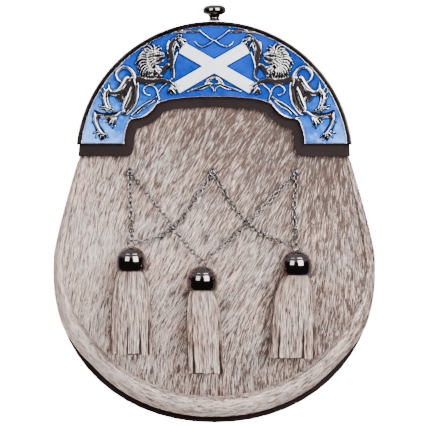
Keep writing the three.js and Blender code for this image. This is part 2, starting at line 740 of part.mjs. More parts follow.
// The cast frame: rim, skirt and border, with the lions, scrolls and knot fused to it
function cantleFrame() {
  const start = Math.asin(CANTLE_END_UP / CANTLE_RADIUS);
  const rimFront = cantleFront + RIM_RISE;
  const skirtBack = cantleBack - SKIRT_DEPTH;
  const rim = [
    { r: CANTLE_RADIUS, d: skirtBack },
    { r: CANTLE_RADIUS, d: rimFront - RIM_RISE / 2 },
    { r: CANTLE_RADIUS - RIM_WIDTH * RIM_FLAT.from, d: rimFront },
    { r: CANTLE_RADIUS - RIM_WIDTH * RIM_FLAT.to, d: rimFront },
    { r: CANTLE_RADIUS - RIM_WIDTH, d: cantleFront },
    { r: CANTLE_RADIUS - RIM_WIDTH, d: cantleBack },
    { r: CANTLE_RADIUS - SKIRT_WALL, d: cantleBack },
    { r: CANTLE_RADIUS - SKIRT_WALL, d: skirtBack },
  ];
  const sections = Array.from({ length: RIM_STEPS + 1 }, (_, i) => {
    const angle = lerp(start, Math.PI - start, i / RIM_STEPS);
    return rim.map(({ r, d }) => [r * Math.cos(angle), -d, r * Math.sin(angle)]);
  });
  const hoop = sweptBand(sections, rim.map(({ r, d }) => new THREE.Vector2(r, d)));
  const face = plate(arch(CANTLE_RADIUS - RIM_WIDTH / 2, 0, 0), cantleBack, cantleFront);
  const bay = arch(CANTLE_RADIUS - RIM_WIDTH, -BORDER_WIDTH, -BORDER_WIDTH);
  const opening = plate(bay, cantleBack - CANTLE_WALL, rimFront + CANTLE_WALL);
  const frame = solid(hoop).add(solid(face).subtract(solid(opening)));
  const relief = [-1, 1].flatMap((side) => [
    ...strokes(LION_LIMBS, side, HIGH_RELIEF),
    ...strokes(SCROLLS, side, LOW_RELIEF),
    mane(side),
  ]);
  return geometryOf(frame.add(joined(relief).subtract(saltire(GAP))));
}

function knob() {
  const profile = sized(KNOB_PROFILE, KNOB_RADIUS, KNOB_HEIGHT);
  const seat = { out: 0, up: 0 };
  const crown = { out: 0, up: KNOB_HEIGHT };
  return turned([seat, ...profile, crown]).translate(0, -(cantleBack - SKIRT_DEPTH / 4), CANTLE_RADIUS + GAP);
}

// A small wire ring that stands in the plane of the front, at a place and depth
function wireRing(x, z, depth) {
  const ring = new THREE.TorusGeometry(RING_RADIUS, RING_WIRE, WIRE_SIDES, RING_SIDES);
  return ring.rotateX(Math.PI / 2).translate(x, -depth, z);
}

// A staple on the front panel: a small washer with a ring that both of its chains hang from
function staple({ x, z }) {
  const face = seatDepth(x, z, STAPLE_RADIUS);
  const profile = sized(WASHER_PROFILE, STAPLE_RADIUS, WASHER_RISE);
  const washer = turned(profile, WASHER_SIDES).rotateX(Math.PI / 2).translate(x, -face, z);
  return geometryOf(joined([washer, wireRing(x, z, face + WASHER_RISE)]));
}

function bellDepth({ x, top }) {
  const levels = [0, 0.25, 0.5, 0.75, 1].map((share) => frontDepth(x, top - BELL_HEIGHT * share));
  return Math.max(...levels) + BELL_RADIUS + PILE;
}

// A bell cap, open below, with the ring that its two chains end on
function bell(tassel) {
  const outside = sized(BELL_PROFILE, BELL_RADIUS, BELL_HEIGHT);
  const lip = outside.at(-1);
  const inside = outside.filter(({ up }) => up > BELL_LIP).map(({ out, up }) => ({
    out: out - BELL_WALL,
    up: up - BELL_WALL,
  }));
  const profile = [
    { out: 0, up: BELL_HEIGHT - BELL_WALL },
    ...inside,
    { out: lip.out - BELL_WALL, up: 0 },
    ...outside.reverse(),
    { out: 0, up: BELL_HEIGHT },
  ];
  const depth = bellDepth(tassel);
  const cap = turned(profile).translate(tassel.x, -depth, tassel.top - BELL_HEIGHT);
  return geometryOf(joined([cap, wireRing(tassel.x, tassel.top + RING_RADIUS - RING_WIRE / 2, depth)]));
}

// The oval through the middles of a tassel's locks at one level
function tasselOval(tassel, down, spread) {
  const head = (lipRadius - BELL_WALL) * Math.cos(Math.PI / LOCKS) - GAP;
  const half = {
    x: lerp(head, (tassel.right + tassel.left) / 2, spread) - LOCK_WALL / 2,
    y: lerp(head, TASSEL_DEPTH, spread) - LOCK_WALL / 2,
  };
  const drift = ((tassel.right - tassel.left) / 2) * Math.max(down, 0);
  return { half, drift, z: tassel.top - BELL_HEIGHT - TASSEL_LENGTH * down };
}

// One lock of a tassel: a strip with a square cut end, round the tassel's oval sections at one angle
function lock(tassel, angle) {
  const share = (2 * Math.PI) / LOCKS;
  const sections = TASSEL_SECTIONS.map(({ down, spread }) => {
    const { half, drift, z } = tasselOval(tassel, down, spread);
    const room = { x: -half.x * Math.sin(angle), y: half.y * Math.cos(angle) };
    const run = Math.hypot(room.x, room.y);
    const along = { x: room.x / run, y: room.y / run };
    const width = (run * share * lerp(LOCK_OVERLAP, LOCK_PARTING, spread)) / 2;
    const centre = { x: tassel.x + drift + half.x * Math.cos(angle), y: half.y * Math.sin(angle) };
    return [[-1, -1], [1, -1], [1, 1], [-1, 1]].map(([a, b]) => [
      centre.x + along.x * width * a - along.y * (LOCK_WALL / 2) * b,
      centre.y + along.y * width * a + along.x * (LOCK_WALL / 2) * b - bellDepth(tassel),
      z,
    ]);
  });
  const plan = [[0, 0], [1, 0], [1, 1], [0, 1]].map(([a, b]) => new THREE.Vector2(a, b));
  return sweptBand(sections, plan);
}

// A tassel: its locks fused round a core that fills the bell's mouth
function tasselBody(tassel) {
  const rings = TASSEL_SECTIONS.slice(0, 3).map(({ down, spread }) => {
    const { half, drift, z } = tasselOval(tassel, down, spread);
    return Array.from({ length: LOCKS }, (_, i) => {
      const angle = (2 * Math.PI * i) / LOCKS;
      const y = half.y * Math.sin(angle) - bellDepth(tassel);
      return [tassel.x + drift + half.x * Math.cos(angle), y, z];
    });
  });
  const plan = rings[0].map(([x, y]) => new THREE.Vector2(x, y));
  const locks = Array.from({ length: LOCKS }, (_, i) => lock(tassel, (2 * Math.PI * (i + 0.5)) / LOCKS));
  return geometryOf(joined([sweptBand(rings, plan), ...locks]));
}

// The point that lies a distance from one place towards another
function towards(from, to, distance) {
  const share = distance / Math.hypot(to.x - from.x, to.z - from.z);
  return { x: lerp(from.x, to.x, share), z: lerp(from.z, to.z, share) };
}

// A chain, drawn as the tube that its links fill, lying on the front panel from its staple to its bell
function chain({ from, to, over, by }) {
  const start = staples.find(({ side }) => side === from);
  const bellTop = tassels.find(({ side }) => side === to);
  const middle = by.map(({ across, down }) => ({ x: across * halfWidth, z: -down * BODY_DROP }));
  const first = towards(start, middle[0], CHAIN_END);
  const last = towards({ x: bellTop.x, z: bellTop.top + 2 * RING_RADIUS }, middle.at(-1), CHAIN_END / 2);
  const route = [first, ...middle, last].map(({ x, z }) => new THREE.Vector3(x, 0, z));
  const flat = new THREE.CatmullRomCurve3(route);
  const points = flat.getSpacedPoints(CHAIN_STEPS).map((point, i) => {
    const share = i / CHAIN_STEPS;
    const low = frontDepth(point.x, point.z) + CHAIN_RADIUS + PILE;
    const hump = over * CHAIN_OVER * Math.sin(Math.PI * share);
    const climb = THREE.MathUtils.smoothstep(share, CHAIN_CLIMB.from, 1) * CHAIN_CLIMB.share;
    const lift = (bellDepth(bellTop) - low - hump) * climb;
    return new THREE.Vector3(point.x, -(low + hump + lift), point.z);
  });
  const round = Array.from({ length: CHAIN_SIDES }, (_, i) => {
    const angle = (2 * Math.PI * i) / CHAIN_SIDES;
    return new THREE.Vector2(CHAIN_RADIUS * Math.cos(angle), CHAIN_RADIUS * Math.sin(angle));
  });
  return new THREE.ExtrudeGeometry(new THREE.Shape(round), {
    steps: CHAIN_STEPS,
    extrudePath: new THREE.CatmullRomCurve3(points),
  });
}

// The flap that covers the mouth, sewn along its top and rounded below
function backFlap() {
  const side = MOUTH_WIDTH / 2 + FLAP_LAP;
  const high = MOUTH_TOP + FLAP_LAP;
  const tongue = Array.from({ length: HOLE_SIDES + 1 }, (_, i) => {
    const angle = (Math.PI * i) / HOLE_SIDES;
    return { x: side * Math.cos(angle), z: flapFold - FLAP_TONGUE * Math.sin(angle) };
  });
  const outline = [{ x: -side, z: high }, { x: side, z: high }, ...tongue];
  const hole = STUD_POST + GAP;
  const eye = Array.from({ length: HOLE_SIDES }, (_, i) => {
    const angle = (2 * Math.PI * i) / HOLE_SIDES;
    return { x: hole * Math.cos(angle), z: flapFold + hole * Math.sin(angle) };
  });
  return plate(outline, -GAP - FLAP_WALL, -GAP, [eye]);
}

// The stud that closes the flap: a low cap on a post through the flap
function flapStud() {
  const seat = FLAP_WALL + GAP * 2;
  const post = [{ out: 0, up: GAP }, { out: STUD_POST, up: GAP }, { out: STUD_POST, up: seat }];
  const cap = sized(STUD_PROFILE, STUD_RADIUS, STUD_HEIGHT).map(({ out, up }) => ({ out, up: up + seat }));
  return turned([...post, ...cap]).rotateX(-Math.PI / 2).translate(0, 0, flapFold);
}

// A strap loop: a strip of leather sewn down at both ends, standing off between them
function strapLoop(side) {
  const half = LOOP_HEIGHT / 2;
  const span = half - LOOP_FOOT;
  const rise = GAP + LOOP_RISE;
  const crown = span - LOOP_RISE / 2;
  const bend = LOOP_WALL * LOOP_BEND;
  const inside = [{ z: crown, y: rise }, { z: span, y: GAP }, { z: half, y: GAP }];
  const outside = [
    { z: half, y: GAP + LOOP_WALL },
    { z: span + bend, y: GAP + LOOP_WALL },
    { z: crown + bend, y: rise + LOOP_WALL },
  ];
  const upper = [...inside, ...outside];
  const lower = upper.map(({ z, y }) => ({ z: -z, y })).reverse();
  const shape = new THREE.Shape([...upper, ...lower].map(({ z, y }) => new THREE.Vector2(y, z)));
  const geometry = new THREE.ExtrudeGeometry(shape, { depth: LOOP_WIDTH, bevelEnabled: false });
  const upright = new THREE.Matrix4().makeBasis(
    new THREE.Vector3(0, 1, 0),
    new THREE.Vector3(0, 0, 1),
    new THREE.Vector3(1, 0, 0),
  );
  return geometry.applyMatrix4(upright).translate(side * LOOP_ACROSS - LOOP_WIDTH / 2, 0, HANG_UP);
}

// The whole pouch, hung from the strap
const sporran = new THREE.Group();
const pouch = new THREE.Group();
pouch.position.z = -HANG_UP;
sporran.add(pouch);

function add(name, geometry, material) {
  const mesh = new THREE.Mesh(geometry, material);
  mesh.name = name;
  pouch.add(mesh);
}

add('back_panel', backPanel(), DARK_LEATHER);
add('back_flap', backFlap(), DARK_LEATHER);
add('flap_stud', flapStud(), BLACK_CHROME);
add('strap_loop_left', strapLoop(-1), DARK_LEATHER);
add('strap_loop_right', strapLoop(1), DARK_LEATHER);
add('hide_gusset', hideGusset(), LIGHT_HIDE);
add('top_gusset', topGusset(), DARK_LEATHER);
add('front_panel', frontPanel(), LIGHT_HIDE);
add('yoke', yoke(), DARK_LEATHER);
add('cantle_frame', cantleFrame(), CAST_METAL);
add('enamel_plate', enamelPlate(), BLUE_ENAMEL);
add('saltire', geometryOf(saltire(0)), WHITE_ENAMEL);
add('finial_knob', knob(), BLACK_CHROME);
for (const place of staples) add(`staple_${place.side}`, staple(place), CHAIN_METAL);
for (const strand of CHAINS) add(`chain_${strand.from}_to_${strand.to}`, chain(strand), CHAIN_METAL);
for (const tassel of tassels) {
  add(`bell_${tassel.side}`, bell(tassel), BLACK_CHROME);
  add(`tassel_${tassel.side}`, tasselBody(tassel), LIGHT_HIDE);
}

export default sporran;
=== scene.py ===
# %% [markdown]
# # A hide sporran on its cast cantle
#
# A sporran is the pouch that hangs at the front of a kilt. This one has a domed front of short grey
# hair on hide, a cast metal cantle with blue enamel over its mouth, three tassels on chains, and a
# plain leather back. The solids come packed from CAD and give every place and size. Here each of them
# gets the surface that the real thing has: hair that can be seen strand by strand, chased metal,
# enamel, grained leather and linked chain.

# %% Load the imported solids
import math

import bpy
import numpy as np
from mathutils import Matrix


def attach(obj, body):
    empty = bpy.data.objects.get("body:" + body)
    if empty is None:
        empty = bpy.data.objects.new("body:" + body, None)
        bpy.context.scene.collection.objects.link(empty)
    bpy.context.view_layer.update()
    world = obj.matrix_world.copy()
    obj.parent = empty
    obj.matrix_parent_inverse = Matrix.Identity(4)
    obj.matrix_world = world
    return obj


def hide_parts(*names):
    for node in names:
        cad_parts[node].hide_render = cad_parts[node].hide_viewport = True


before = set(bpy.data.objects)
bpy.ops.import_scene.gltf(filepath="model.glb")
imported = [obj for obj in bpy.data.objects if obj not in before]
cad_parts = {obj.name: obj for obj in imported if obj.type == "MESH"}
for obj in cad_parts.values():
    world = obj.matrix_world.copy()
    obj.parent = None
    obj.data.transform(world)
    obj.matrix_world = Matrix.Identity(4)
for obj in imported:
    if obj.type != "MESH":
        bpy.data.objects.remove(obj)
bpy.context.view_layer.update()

# %% [markdown]
# ## Sizes and one way to say where things are
#
# The pouch is flat at the back and its front bulges towards the viewer, so a place on it is easiest
# to think of as three numbers in millimetres: how far across from the middle, how deep in front of the
# back face, and how far up from the spring line, the level of the centre of the cantle's arc. Blender
# wants metres with the origin at the strap. One function turns the first into the second, so that no
# other line has to think about it.

# %% Sizes of the pouch, in mm
MM = 0.001
HANG_UP = 38.0
CANTLE_RADIUS = 81.1
POUCH_DEPTH = 26.0
BELLY_BULGE = 14.0
BULGE_TOP_UP = 11.0
BULGE_POWER = 2.4
WIDEST_DROP = 57.5
JOIN_UP = 2.25
PANEL_FRONT = 2.5


def in_frame(places):
    """Millimetres across, deep and up become metres in the frame."""
    across, deep, up = np.moveaxis(np.asarray(places, float), -1, 0)
    return np.stack([across, -deep, up - HANG_UP], axis=-1) * MM


print("the spring line is at z =", in_frame([0, 0, 0])[2], "m")

# %% [markdown]
# ## From numbers to a piece
#
# Every piece here is a mesh worked out with numpy: a grid of places, joined by faces. Writing the mesh
# straight from numbers keeps it light and gives the same result each time. Values that a finish needs,
# such as how light a strand of hair is, go onto the mesh as attributes, which the material reads.

# %% Make a piece from places and faces
def make_piece(name, places, faces, material, slot, stands_for=(), values=None, sharp=None):
    """A piece from places in mm and lists of corners; edges bent by more than sharp degrees stay crisp."""
    mesh = bpy.data.meshes.new(name)
    mesh.from_pydata(in_frame(places).tolist(), [], faces)
    for label, numbers in (values or {}).items():
        layer = mesh.attributes.new(label, "FLOAT", "POINT")
        layer.data.foreach_set("value", np.asarray(numbers, np.float32).ravel())
    mesh.materials.append(material)
    mesh.shade_smooth()
    if sharp:
        mesh.set_sharp_from_angle(angle=math.radians(sharp))
    piece = bpy.data.objects.new(name, mesh)
    bpy.context.scene.collection.objects.link(piece)
    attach(piece, "root")
    for node in stands_for:
        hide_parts(node)
    print(f"{name}: {len(mesh.vertices)} points, {len(mesh.polygons)} faces")
    return piece


def grid_faces(rows, columns, closed=False):
    """Faces between neighbouring rows of points; closed joins the last column to the first."""
    row = np.arange(rows - 1)[:, None] * columns
    column = np.arange(columns if closed else columns - 1)[None, :]
    beside = (column + 1) % columns
    corners = [row + column, row + beside, row + columns + beside, row + columns + column]
    return np.stack(corners, axis=-1).reshape(-1, 4).tolist()


def cap_face(start, count, turned=False):
    """One face that closes a ring of points."""
    ring = list(range(start, start + count))
    return ring[::-1] if turned else ring


# %% [markdown]
# ## Finishes
#
# A finish is a small tree of nodes round one shader. Most of them need the same few parts: noise that
# is stretched one way, a ramp that turns a number into a colour, and a bump. These helpers make those
# parts, so that each finish below reads as a short recipe. All of them read Object coordinates, which
# are metres on the piece itself, so the grain stays fixed to the piece whatever the camera does.

# %% Parts that the finishes are made of
def new_finish(name, roughness=0.5, metallic=0.0, coat=0.0):
    material = bpy.data.materials.new(name)
    material.use_nodes = True
    shader = material.node_tree.nodes["Principled BSDF"]
    shader.inputs["Roughness"].default_value = roughness
    shader.inputs["Metallic"].default_value = metallic
    shader.inputs["Coat Weight"].default_value = coat
    return material, material.node_tree, shader


def object_places(tree, stretch=(1, 1, 1)):
    places = tree.nodes.new("ShaderNodeTexCoord")
    mapping = tree.nodes.new("ShaderNodeMapping")
    mapping.inputs["Scale"].default_value = stretch
    tree.links.new(places.outputs["Object"], mapping.inputs["Vector"])
    return mapping.outputs["Vector"]


def noise(tree, scale, detail=3.0, stretch=(1, 1, 1)):
    node = tree.nodes.new("ShaderNodeTexNoise")
    node.inputs["Scale"].default_value = scale
    node.inputs["Detail"].default_value = detail
    tree.links.new(object_places(tree, stretch), node.inputs["Vector"])
    return node.outputs["Fac"]


def value_of(tree, label):
    node = tree.nodes.new("ShaderNodeAttribute")
    node.attribute_name = label
    return node.outputs["Fac"]


def ramp(tree, value, stops):
    node = tree.nodes.new("ShaderNodeValToRGB")
    elements = node.color_ramp.elements
    while len(elements) < len(stops):
        elements.new(0.5)
    for element, (position, colour) in zip(elements, stops):
        element.position = position
        element.color = (*colour, 1)
    tree.links.new(value, node.inputs["Fac"])
    return node.outputs["Color"]


def math_node(tree, operation, first, second=0.5, third=0.0):
    node = tree.nodes.new("ShaderNodeMath")
    node.operation = operation
    for socket, value in zip(node.inputs, (first, second, third)):
        if isinstance(value, (int, float)):
            socket.default_value = value
        else:
            tree.links.new(value, socket)
    return node.outputs["Value"]


def blend_colours(tree, share, first, second, kind="MIX"):
    node = tree.nodes.new("ShaderNodeMix")
    node.data_type = "RGBA"
    node.blend_type = kind
    for label, value in (("Factor", share), ("A", first), ("B", second)):
        socket = [s for s in node.inputs if s.name == label and s.enabled][0]
        if isinstance(value, (int, float, tuple)):
            socket.default_value = (*value, 1) if isinstance(value, tuple) else value
        else:
            tree.links.new(value, socket)
    return [s for s in node.outputs if s.enabled][0]


def bump(tree, shader, height, strength, distance_mm):
    node = tree.nodes.new("ShaderNodeBump")
    node.inputs["Strength"].default_value = strength
    node.inputs["Distance"].default_value = distance_mm * MM
    tree.links.new(height, node.inputs["Height"])
    tree.links.new(node.outputs["Normal"], shader.inputs["Normal"])


# %% [markdown]
# ## The finish of the hair
#
# Short hide hair is not one colour. Pale strands lie over darker ones, and both change along their
# length. Each strand carries two numbers, how light it is and how far along it a point lies, and a
# ramp turns the first into a colour between dark brown grey and pale beige. Noise a few millimetres
# across adds the slight warm and cool patches of a real skin.

# %% Hair and the skin under it
def hair_finish():
    material, tree, shader = new_finish("short_hair", roughness=0.62)
    tone = ramp(tree, value_of(tree, "tone"), [
        (0.0, (0.095, 0.061, 0.050)),
        (0.30, (0.290, 0.203, 0.170)),
        (0.60, (0.560, 0.424, 0.370)),
        (1.0, (0.870, 0.722, 0.655)),
    ])
    tint = ramp(tree, noise(tree, 55, 4), [
        (0.3, (1.00, 0.90, 0.84)),
        (0.7, (0.93, 0.97, 1.00)),
    ])
    coloured = blend_colours(tree, 1.0, tone, tint, "MULTIPLY")
    root = ramp(tree, value_of(tree, "along"), [(0.0, (0.55, 0.5, 0.48)), (0.45, (1, 1, 1))])
    tree.links.new(blend_colours(tree, 1.0, coloured, root, "MULTIPLY"), shader.inputs["Base Color"])
    shader.inputs["Specular IOR Level"].default_value = 0.35
    return material


def skin_finish(name, dark, middle, light):
    material, tree, shader = new_finish(name, roughness=0.8)
    grain = noise(tree, 420, 4, (1, 1, 0.22))
    colour = ramp(tree, grain, [(0.3, dark), (0.55, middle), (0.75, light)])
    tree.links.new(colour, shader.inputs["Base Color"])
    bump(tree, shader, grain, 0.6, 0.4)
    return material


short_hair = hair_finish()
hide_skin = skin_finish("hide_skin", (0.13, 0.092, 0.076), (0.34, 0.262, 0.228), (0.56, 0.465, 0.42))
# a near-black skin for the tassels' cores: painted shade between their strips
tassel_shade_skin = skin_finish("tassel_shade_skin", (0.02, 0.013, 0.011), (0.055, 0.036, 0.03), (0.11, 0.078, 0.066))
print("hair and skin finishes are ready")

# %% [markdown]
# ## Leather
#
# The back, the yoke and the strap loops are dark brown leather with a fine grain and a satin gloss.
# Grain is a net of small cells, which a Voronoi texture makes at half a millimetre, and it is broken
# up with noise so that no cell looks like the next. The gloss changes a little from place to place,
# as it does where hands and cloth rub it.

# %% Dark leather and its thread
def leather_finish():
    material, tree, shader = new_finish("dark_leather", roughness=0.5)
    cells = tree.nodes.new("ShaderNodeTexVoronoi")
    cells.feature = "DISTANCE_TO_EDGE"
    cells.inputs["Scale"].default_value = 1500
    tree.links.new(object_places(tree), cells.inputs["Vector"])
    grain = math_node(tree, "MINIMUM", math_node(tree, "MULTIPLY", cells.outputs["Distance"], 4.0), 1.0)
    clouds = noise(tree, 60, 8)
    colour = ramp(tree, clouds, [
        (0.25, (0.0064, 0.0020, 0.0023)),
        (0.75, (0.0128, 0.0042, 0.0047)),
    ])
    tree.links.new(colour, shader.inputs["Base Color"])
    gloss = ramp(tree, clouds, [(0.2, (0.34,) * 3), (0.8, (0.54,) * 3)])
    tree.links.new(gloss, shader.inputs["Roughness"])
    shader.inputs["Specular IOR Level"].default_value = 0.18
    height = math_node(tree, "MULTIPLY_ADD", noise(tree, 900, 4), 0.6, grain)
    bump(tree, shader, height, 0.35, 0.06)
    return material


def thread_finish():
    material, tree, shader = new_finish("waxed_thread", roughness=0.55)
    twist = noise(tree, 2600, 2, (1, 1, 0.4))
    colour = ramp(tree, twist, [(0.35, (0.03, 0.019, 0.016)), (0.7, (0.10, 0.068, 0.055))])
    tree.links.new(colour, shader.inputs["Base Color"])
    bump(tree, shader, twist, 0.5, 0.05)
    return material


dark_leather = leather_finish()
waxed_thread = thread_finish()
print("leather and thread finishes are ready")

# %% [markdown]
# ## Metal
#
# The cantle is cast and then polished, so what stands up is bright and what lies low stays dark. The
# relief below carries a number for how high each point stands over its surroundings, and the finish
# uses it to darken and dull the hollows. The bells, the knob and the stud are black chrome: a mirror
# that gives back only a part of the light, with faint rubbing marks. The chains are a duller gunmetal.

# %% Cast silver, rim, black chrome and gunmetal
def cast_finish():
    material, tree, shader = new_finish("cast_silver", roughness=0.12, metallic=1.0)
    hollow = value_of(tree, "stands")
    colour = ramp(tree, hollow, [
        (0.0, (0.010, 0.007, 0.008)),
        (0.30, (0.052, 0.042, 0.044)),
        (0.52, (0.46, 0.44, 0.45)),
        (0.80, (0.97, 0.96, 0.96)),
    ])
    tree.links.new(colour, shader.inputs["Base Color"])
    gloss = ramp(tree, hollow, [(0.1, (0.42,) * 3), (0.4, (0.18,) * 3), (0.75, (0.16,) * 3)])
    tree.links.new(gloss, shader.inputs["Roughness"])
    bump(tree, shader, noise(tree, 1100, 3), 0.12, 0.05)
    return material


def metal_finish(name, dark, light, roughness, scale, dents):
    material, tree, shader = new_finish(name, roughness=roughness, metallic=1.0)
    clouds = noise(tree, scale, 4)
    tree.links.new(ramp(tree, clouds, [(0.3, dark), (0.7, light)]), shader.inputs["Base Color"])
    gloss = ramp(tree, noise(tree, scale * 3, 3), [
        (0.3, (roughness * 0.7,) * 3),
        (0.75, (roughness * 1.5,) * 3),
    ])
    tree.links.new(gloss, shader.inputs["Roughness"])
    bump(tree, shader, noise(tree, scale * 4, 2), dents, 0.04)
    return material


cast_silver = cast_finish()
rim_metal = metal_finish("rim_metal", (0.016, 0.011, 0.010), (0.050, 0.038, 0.034), 0.26, 130, 0.10)
black_chrome = metal_finish("black_chrome", (0.175, 0.140, 0.142), (0.245, 0.208, 0.210), 0.06, 90, 0.02)
gunmetal = metal_finish("gunmetal", (0.085, 0.072, 0.074), (0.34, 0.31, 0.31), 0.22, 600, 0.15)
print("metal finishes are ready")

# %% [markdown]
# ## Enamel
#
# The blue enamel is glass over metal. It is deep blue in the middle of the arch and lets more light
# back towards the two ends, where it turns to sky blue, sooner on the left than on the right, and it is
# slightly clouded all over. The distance from a line just beside the middle drives one ramp, noise moves
# it, and a thin clear coat gives the glassy gloss.

# %% Blue and white enamel
DEEPEST_AT = 9.0
PALER_OUTWARD = 6.2


def blue_finish():
    material, tree, shader = new_finish("blue_enamel", roughness=0.22, coat=0.2)
    shader.inputs["Specular IOR Level"].default_value = 0.3
    split = tree.nodes.new("ShaderNodeSeparateXYZ")
    tree.links.new(object_places(tree), split.inputs["Vector"])
    aside = math_node(tree, "ABSOLUTE", math_node(tree, "SUBTRACT", split.outputs["X"], DEEPEST_AT * MM))
    towards_end = math_node(tree, "SUBTRACT", aside, split.outputs["Z"])
    lightness = math_node(tree, "MULTIPLY_ADD", towards_end, PALER_OUTWARD, 0.31)
    clouds = math_node(tree, "SUBTRACT", noise(tree, 240, 6), 0.5)
    clouded = math_node(tree, "MULTIPLY_ADD", clouds, 0.55, lightness)
    colour = ramp(tree, clouded, [
        (0.0, (0.0002, 0.035, 0.33)),
        (0.20, (0.0006, 0.046, 0.40)),
        (0.42, (0.0002, 0.026, 0.25)),
        (0.60, (0.0010, 0.046, 0.36)),
        (0.78, (0.012, 0.130, 0.58)),
        (0.96, (0.150, 0.390, 1.0)),
    ])
    tree.links.new(colour, shader.inputs["Base Color"])
    bump(tree, shader, noise(tree, 420, 3), 0.12, 0.1)
    return material


def white_finish():
    material, tree, shader = new_finish("white_enamel", roughness=0.25, coat=0.6)
    clouds = noise(tree, 300, 4)
    tree.links.new(ramp(tree, clouds, [
        (0.3, (0.78, 0.84, 0.97)),
        (0.6, (0.88, 0.93, 1.0)),
    ]), shader.inputs["Base Color"])
    bump(tree, shader, clouds, 0.1, 0.05)
    return material


blue_enamel = blue_finish()
white_enamel = white_finish()
print("enamel finishes are ready")

# %% [markdown]
# ## The camera
#
# The pouch is seen straight on, through a long lens that keeps its near and far parts at one scale. A
# camera close by would show less of the flanks and swell the bells. The width of the view is set in the
# middle of the pouch, and the lens follows from it and from how far away the camera stands.

# %% Camera
LOOK_AT = (0.44, -70.25)
VIEW_WIDTH = 252.15
CAMERA_AWAY = 2.6

lens = bpy.data.cameras.new("long_lens")
lens.sensor_width = 36
lens.lens = lens.sensor_width * (CAMERA_AWAY - POUCH_DEPTH * MM) / (VIEW_WIDTH * MM)
camera = bpy.data.objects.new("camera", lens)
camera.location = (LOOK_AT[0] * MM, -CAMERA_AWAY, LOOK_AT[1] * MM)
camera.rotation_euler = (math.radians(90), 0, 0)
bpy.context.scene.collection.objects.link(camera)
bpy.context.scene.camera = camera
print(f"lens {lens.lens:.0f} mm at {CAMERA_AWAY} m")

# %% [markdown]
# ## The floor
#
# A pale floor lies some way below the hanging pouch and gives soft light back to its lower edge. It is
# one face with a faintly uneven white. It is left out of reflections, because a bright floor in the
# polished bells would turn their dark lower halves white.

# %% Floor
FLOOR_UP = -0.31
FLOOR_HALF = 0.9

floor_mesh = bpy.data.meshes.new("floor")
floor_mesh.from_pydata(
    [(x * FLOOR_HALF, y * FLOOR_HALF, FLOOR_UP) for x, y in ((-1, -1), (1, -1), (1, 1), (-1, 1))],
    [], [(0, 1, 2, 3)])
floor_finish, floor_tree, floor_shader = new_finish("pale_floor", roughness=0.6)
floor_tree.links.new(ramp(floor_tree, noise(floor_tree, 14, 3), [
    (0.3, (0.86, 0.86, 0.85)),
    (0.7, (0.90, 0.90, 0.90)),
]), floor_shader.inputs["Base Color"])
floor_mesh.materials.append(floor_finish)
floor = bpy.data.objects.new("floor", floor_mesh)
bpy.context.scene.collection.objects.link(floor)
floor.visible_glossy = False
print(f"the floor is {2 * FLOOR_HALF} m wide, at z = {FLOOR_UP} m")

# %% [markdown]
# ## The light
#
# The light is a studio: a white ceiling, a white wall behind the pouch, and darker walls round the
# camera, which is what the upright parts of polished metal show. Two square softboxes near the camera
# give the pair of white windows on each bell. The right one is stronger, so that shadows fall softly to
# the lower left. A third softbox stands behind, for whoever walks round to see the leather back.

# %% Light
AIM = (0, -0.04, -0.07)


def softbox(name, place, size, watts):
    light = bpy.data.lights.new(name, "AREA")
    light.shape = "SQUARE"
    light.size = size
    light.energy = watts
    holder = bpy.data.objects.new(name, light)
    holder.location = place
    aim = np.array(place) - np.array(AIM)
    holder.rotation_euler = (
        math.atan2(math.hypot(aim[0], aim[1]), aim[2]),
        0,
        math.atan2(aim[1], aim[0]) + math.pi / 2,
    )
    bpy.context.scene.collection.objects.link(holder)


softbox("softbox_right", (0.66, -1.00, 0.39), 0.85, 36)
softbox("softbox_left", (-0.62, -1.02, 0.36), 0.64, 11)
softbox("softbox_behind", (-0.50, 1.10, 0.45), 0.80, 26)

room = bpy.data.worlds.new("bright_room")
bpy.context.scene.world = room
room.use_nodes = True
room_tree = room.node_tree
ground = room_tree.nodes["Background"]
ways = room_tree.nodes.new("ShaderNodeTexCoord")
parts = room_tree.nodes.new("ShaderNodeSeparateXYZ")
room_tree.links.new(ways.outputs["Generated"], parts.inputs["Vector"])
ceiling = math_node(room_tree, "MULTIPLY_ADD", parts.outputs["Z"], 3.2, -0.9)
behind = math_node(room_tree, "MULTIPLY_ADD", parts.outputs["Y"], 2.6, -0.3)
walls = ramp(room_tree, math_node(room_tree, "MAXIMUM", ceiling, behind), [
    (0.0, (0.07, 0.063, 0.063)),
    (0.25, (0.20, 0.19, 0.19)),
    (0.7, (1.0, 1.0, 1.0)),
])
seen = room_tree.nodes.new("ShaderNodeLightPath")
backdrop = blend_colours(room_tree, seen.outputs["Is Camera Ray"], walls, (36.0, 36.0, 36.0))
room_tree.links.new(backdrop, ground.inputs["Color"])
ground.inputs["Strength"].default_value = 0.45
print("three softboxes and a bright room are lit")

# %% [markdown]
# ## The outline of the pouch
#
# The pouch, its hair band and its front panel share one way of drawing an outline: down the flank on a
# gentle curve, then round the belly on a squared ellipse. Seen from the front, each has its own width
# and drop. Round the bottom the band is drawn in a little, so that the edge of the leather back shows
# below it as a dark line. One function draws half of such an outline, and another mirrors it and spaces
# the points evenly along it, so that grids and hair laid on it come out even.

# %% Outlines
HALF_WIDTH = 95.0
BODY_DROP = 155.1
ROUND_DROP = 66.3
FLANK_CURVE = 1.2
OUTLINES = {
    "band": {"arc": 79.0, "wide": HALF_WIDTH - 0.5, "drop": BODY_DROP - 0.6, "round": ROUND_DROP,
             "power": 2.1, "tuck": 3.6},
    "front": {"arc": 76.7, "wide": HALF_WIDTH - 7.0, "drop": BODY_DROP - 17.3, "round": WIDEST_DROP,
              "power": 2.0},
}
TUCK_UP = [-124, -98]


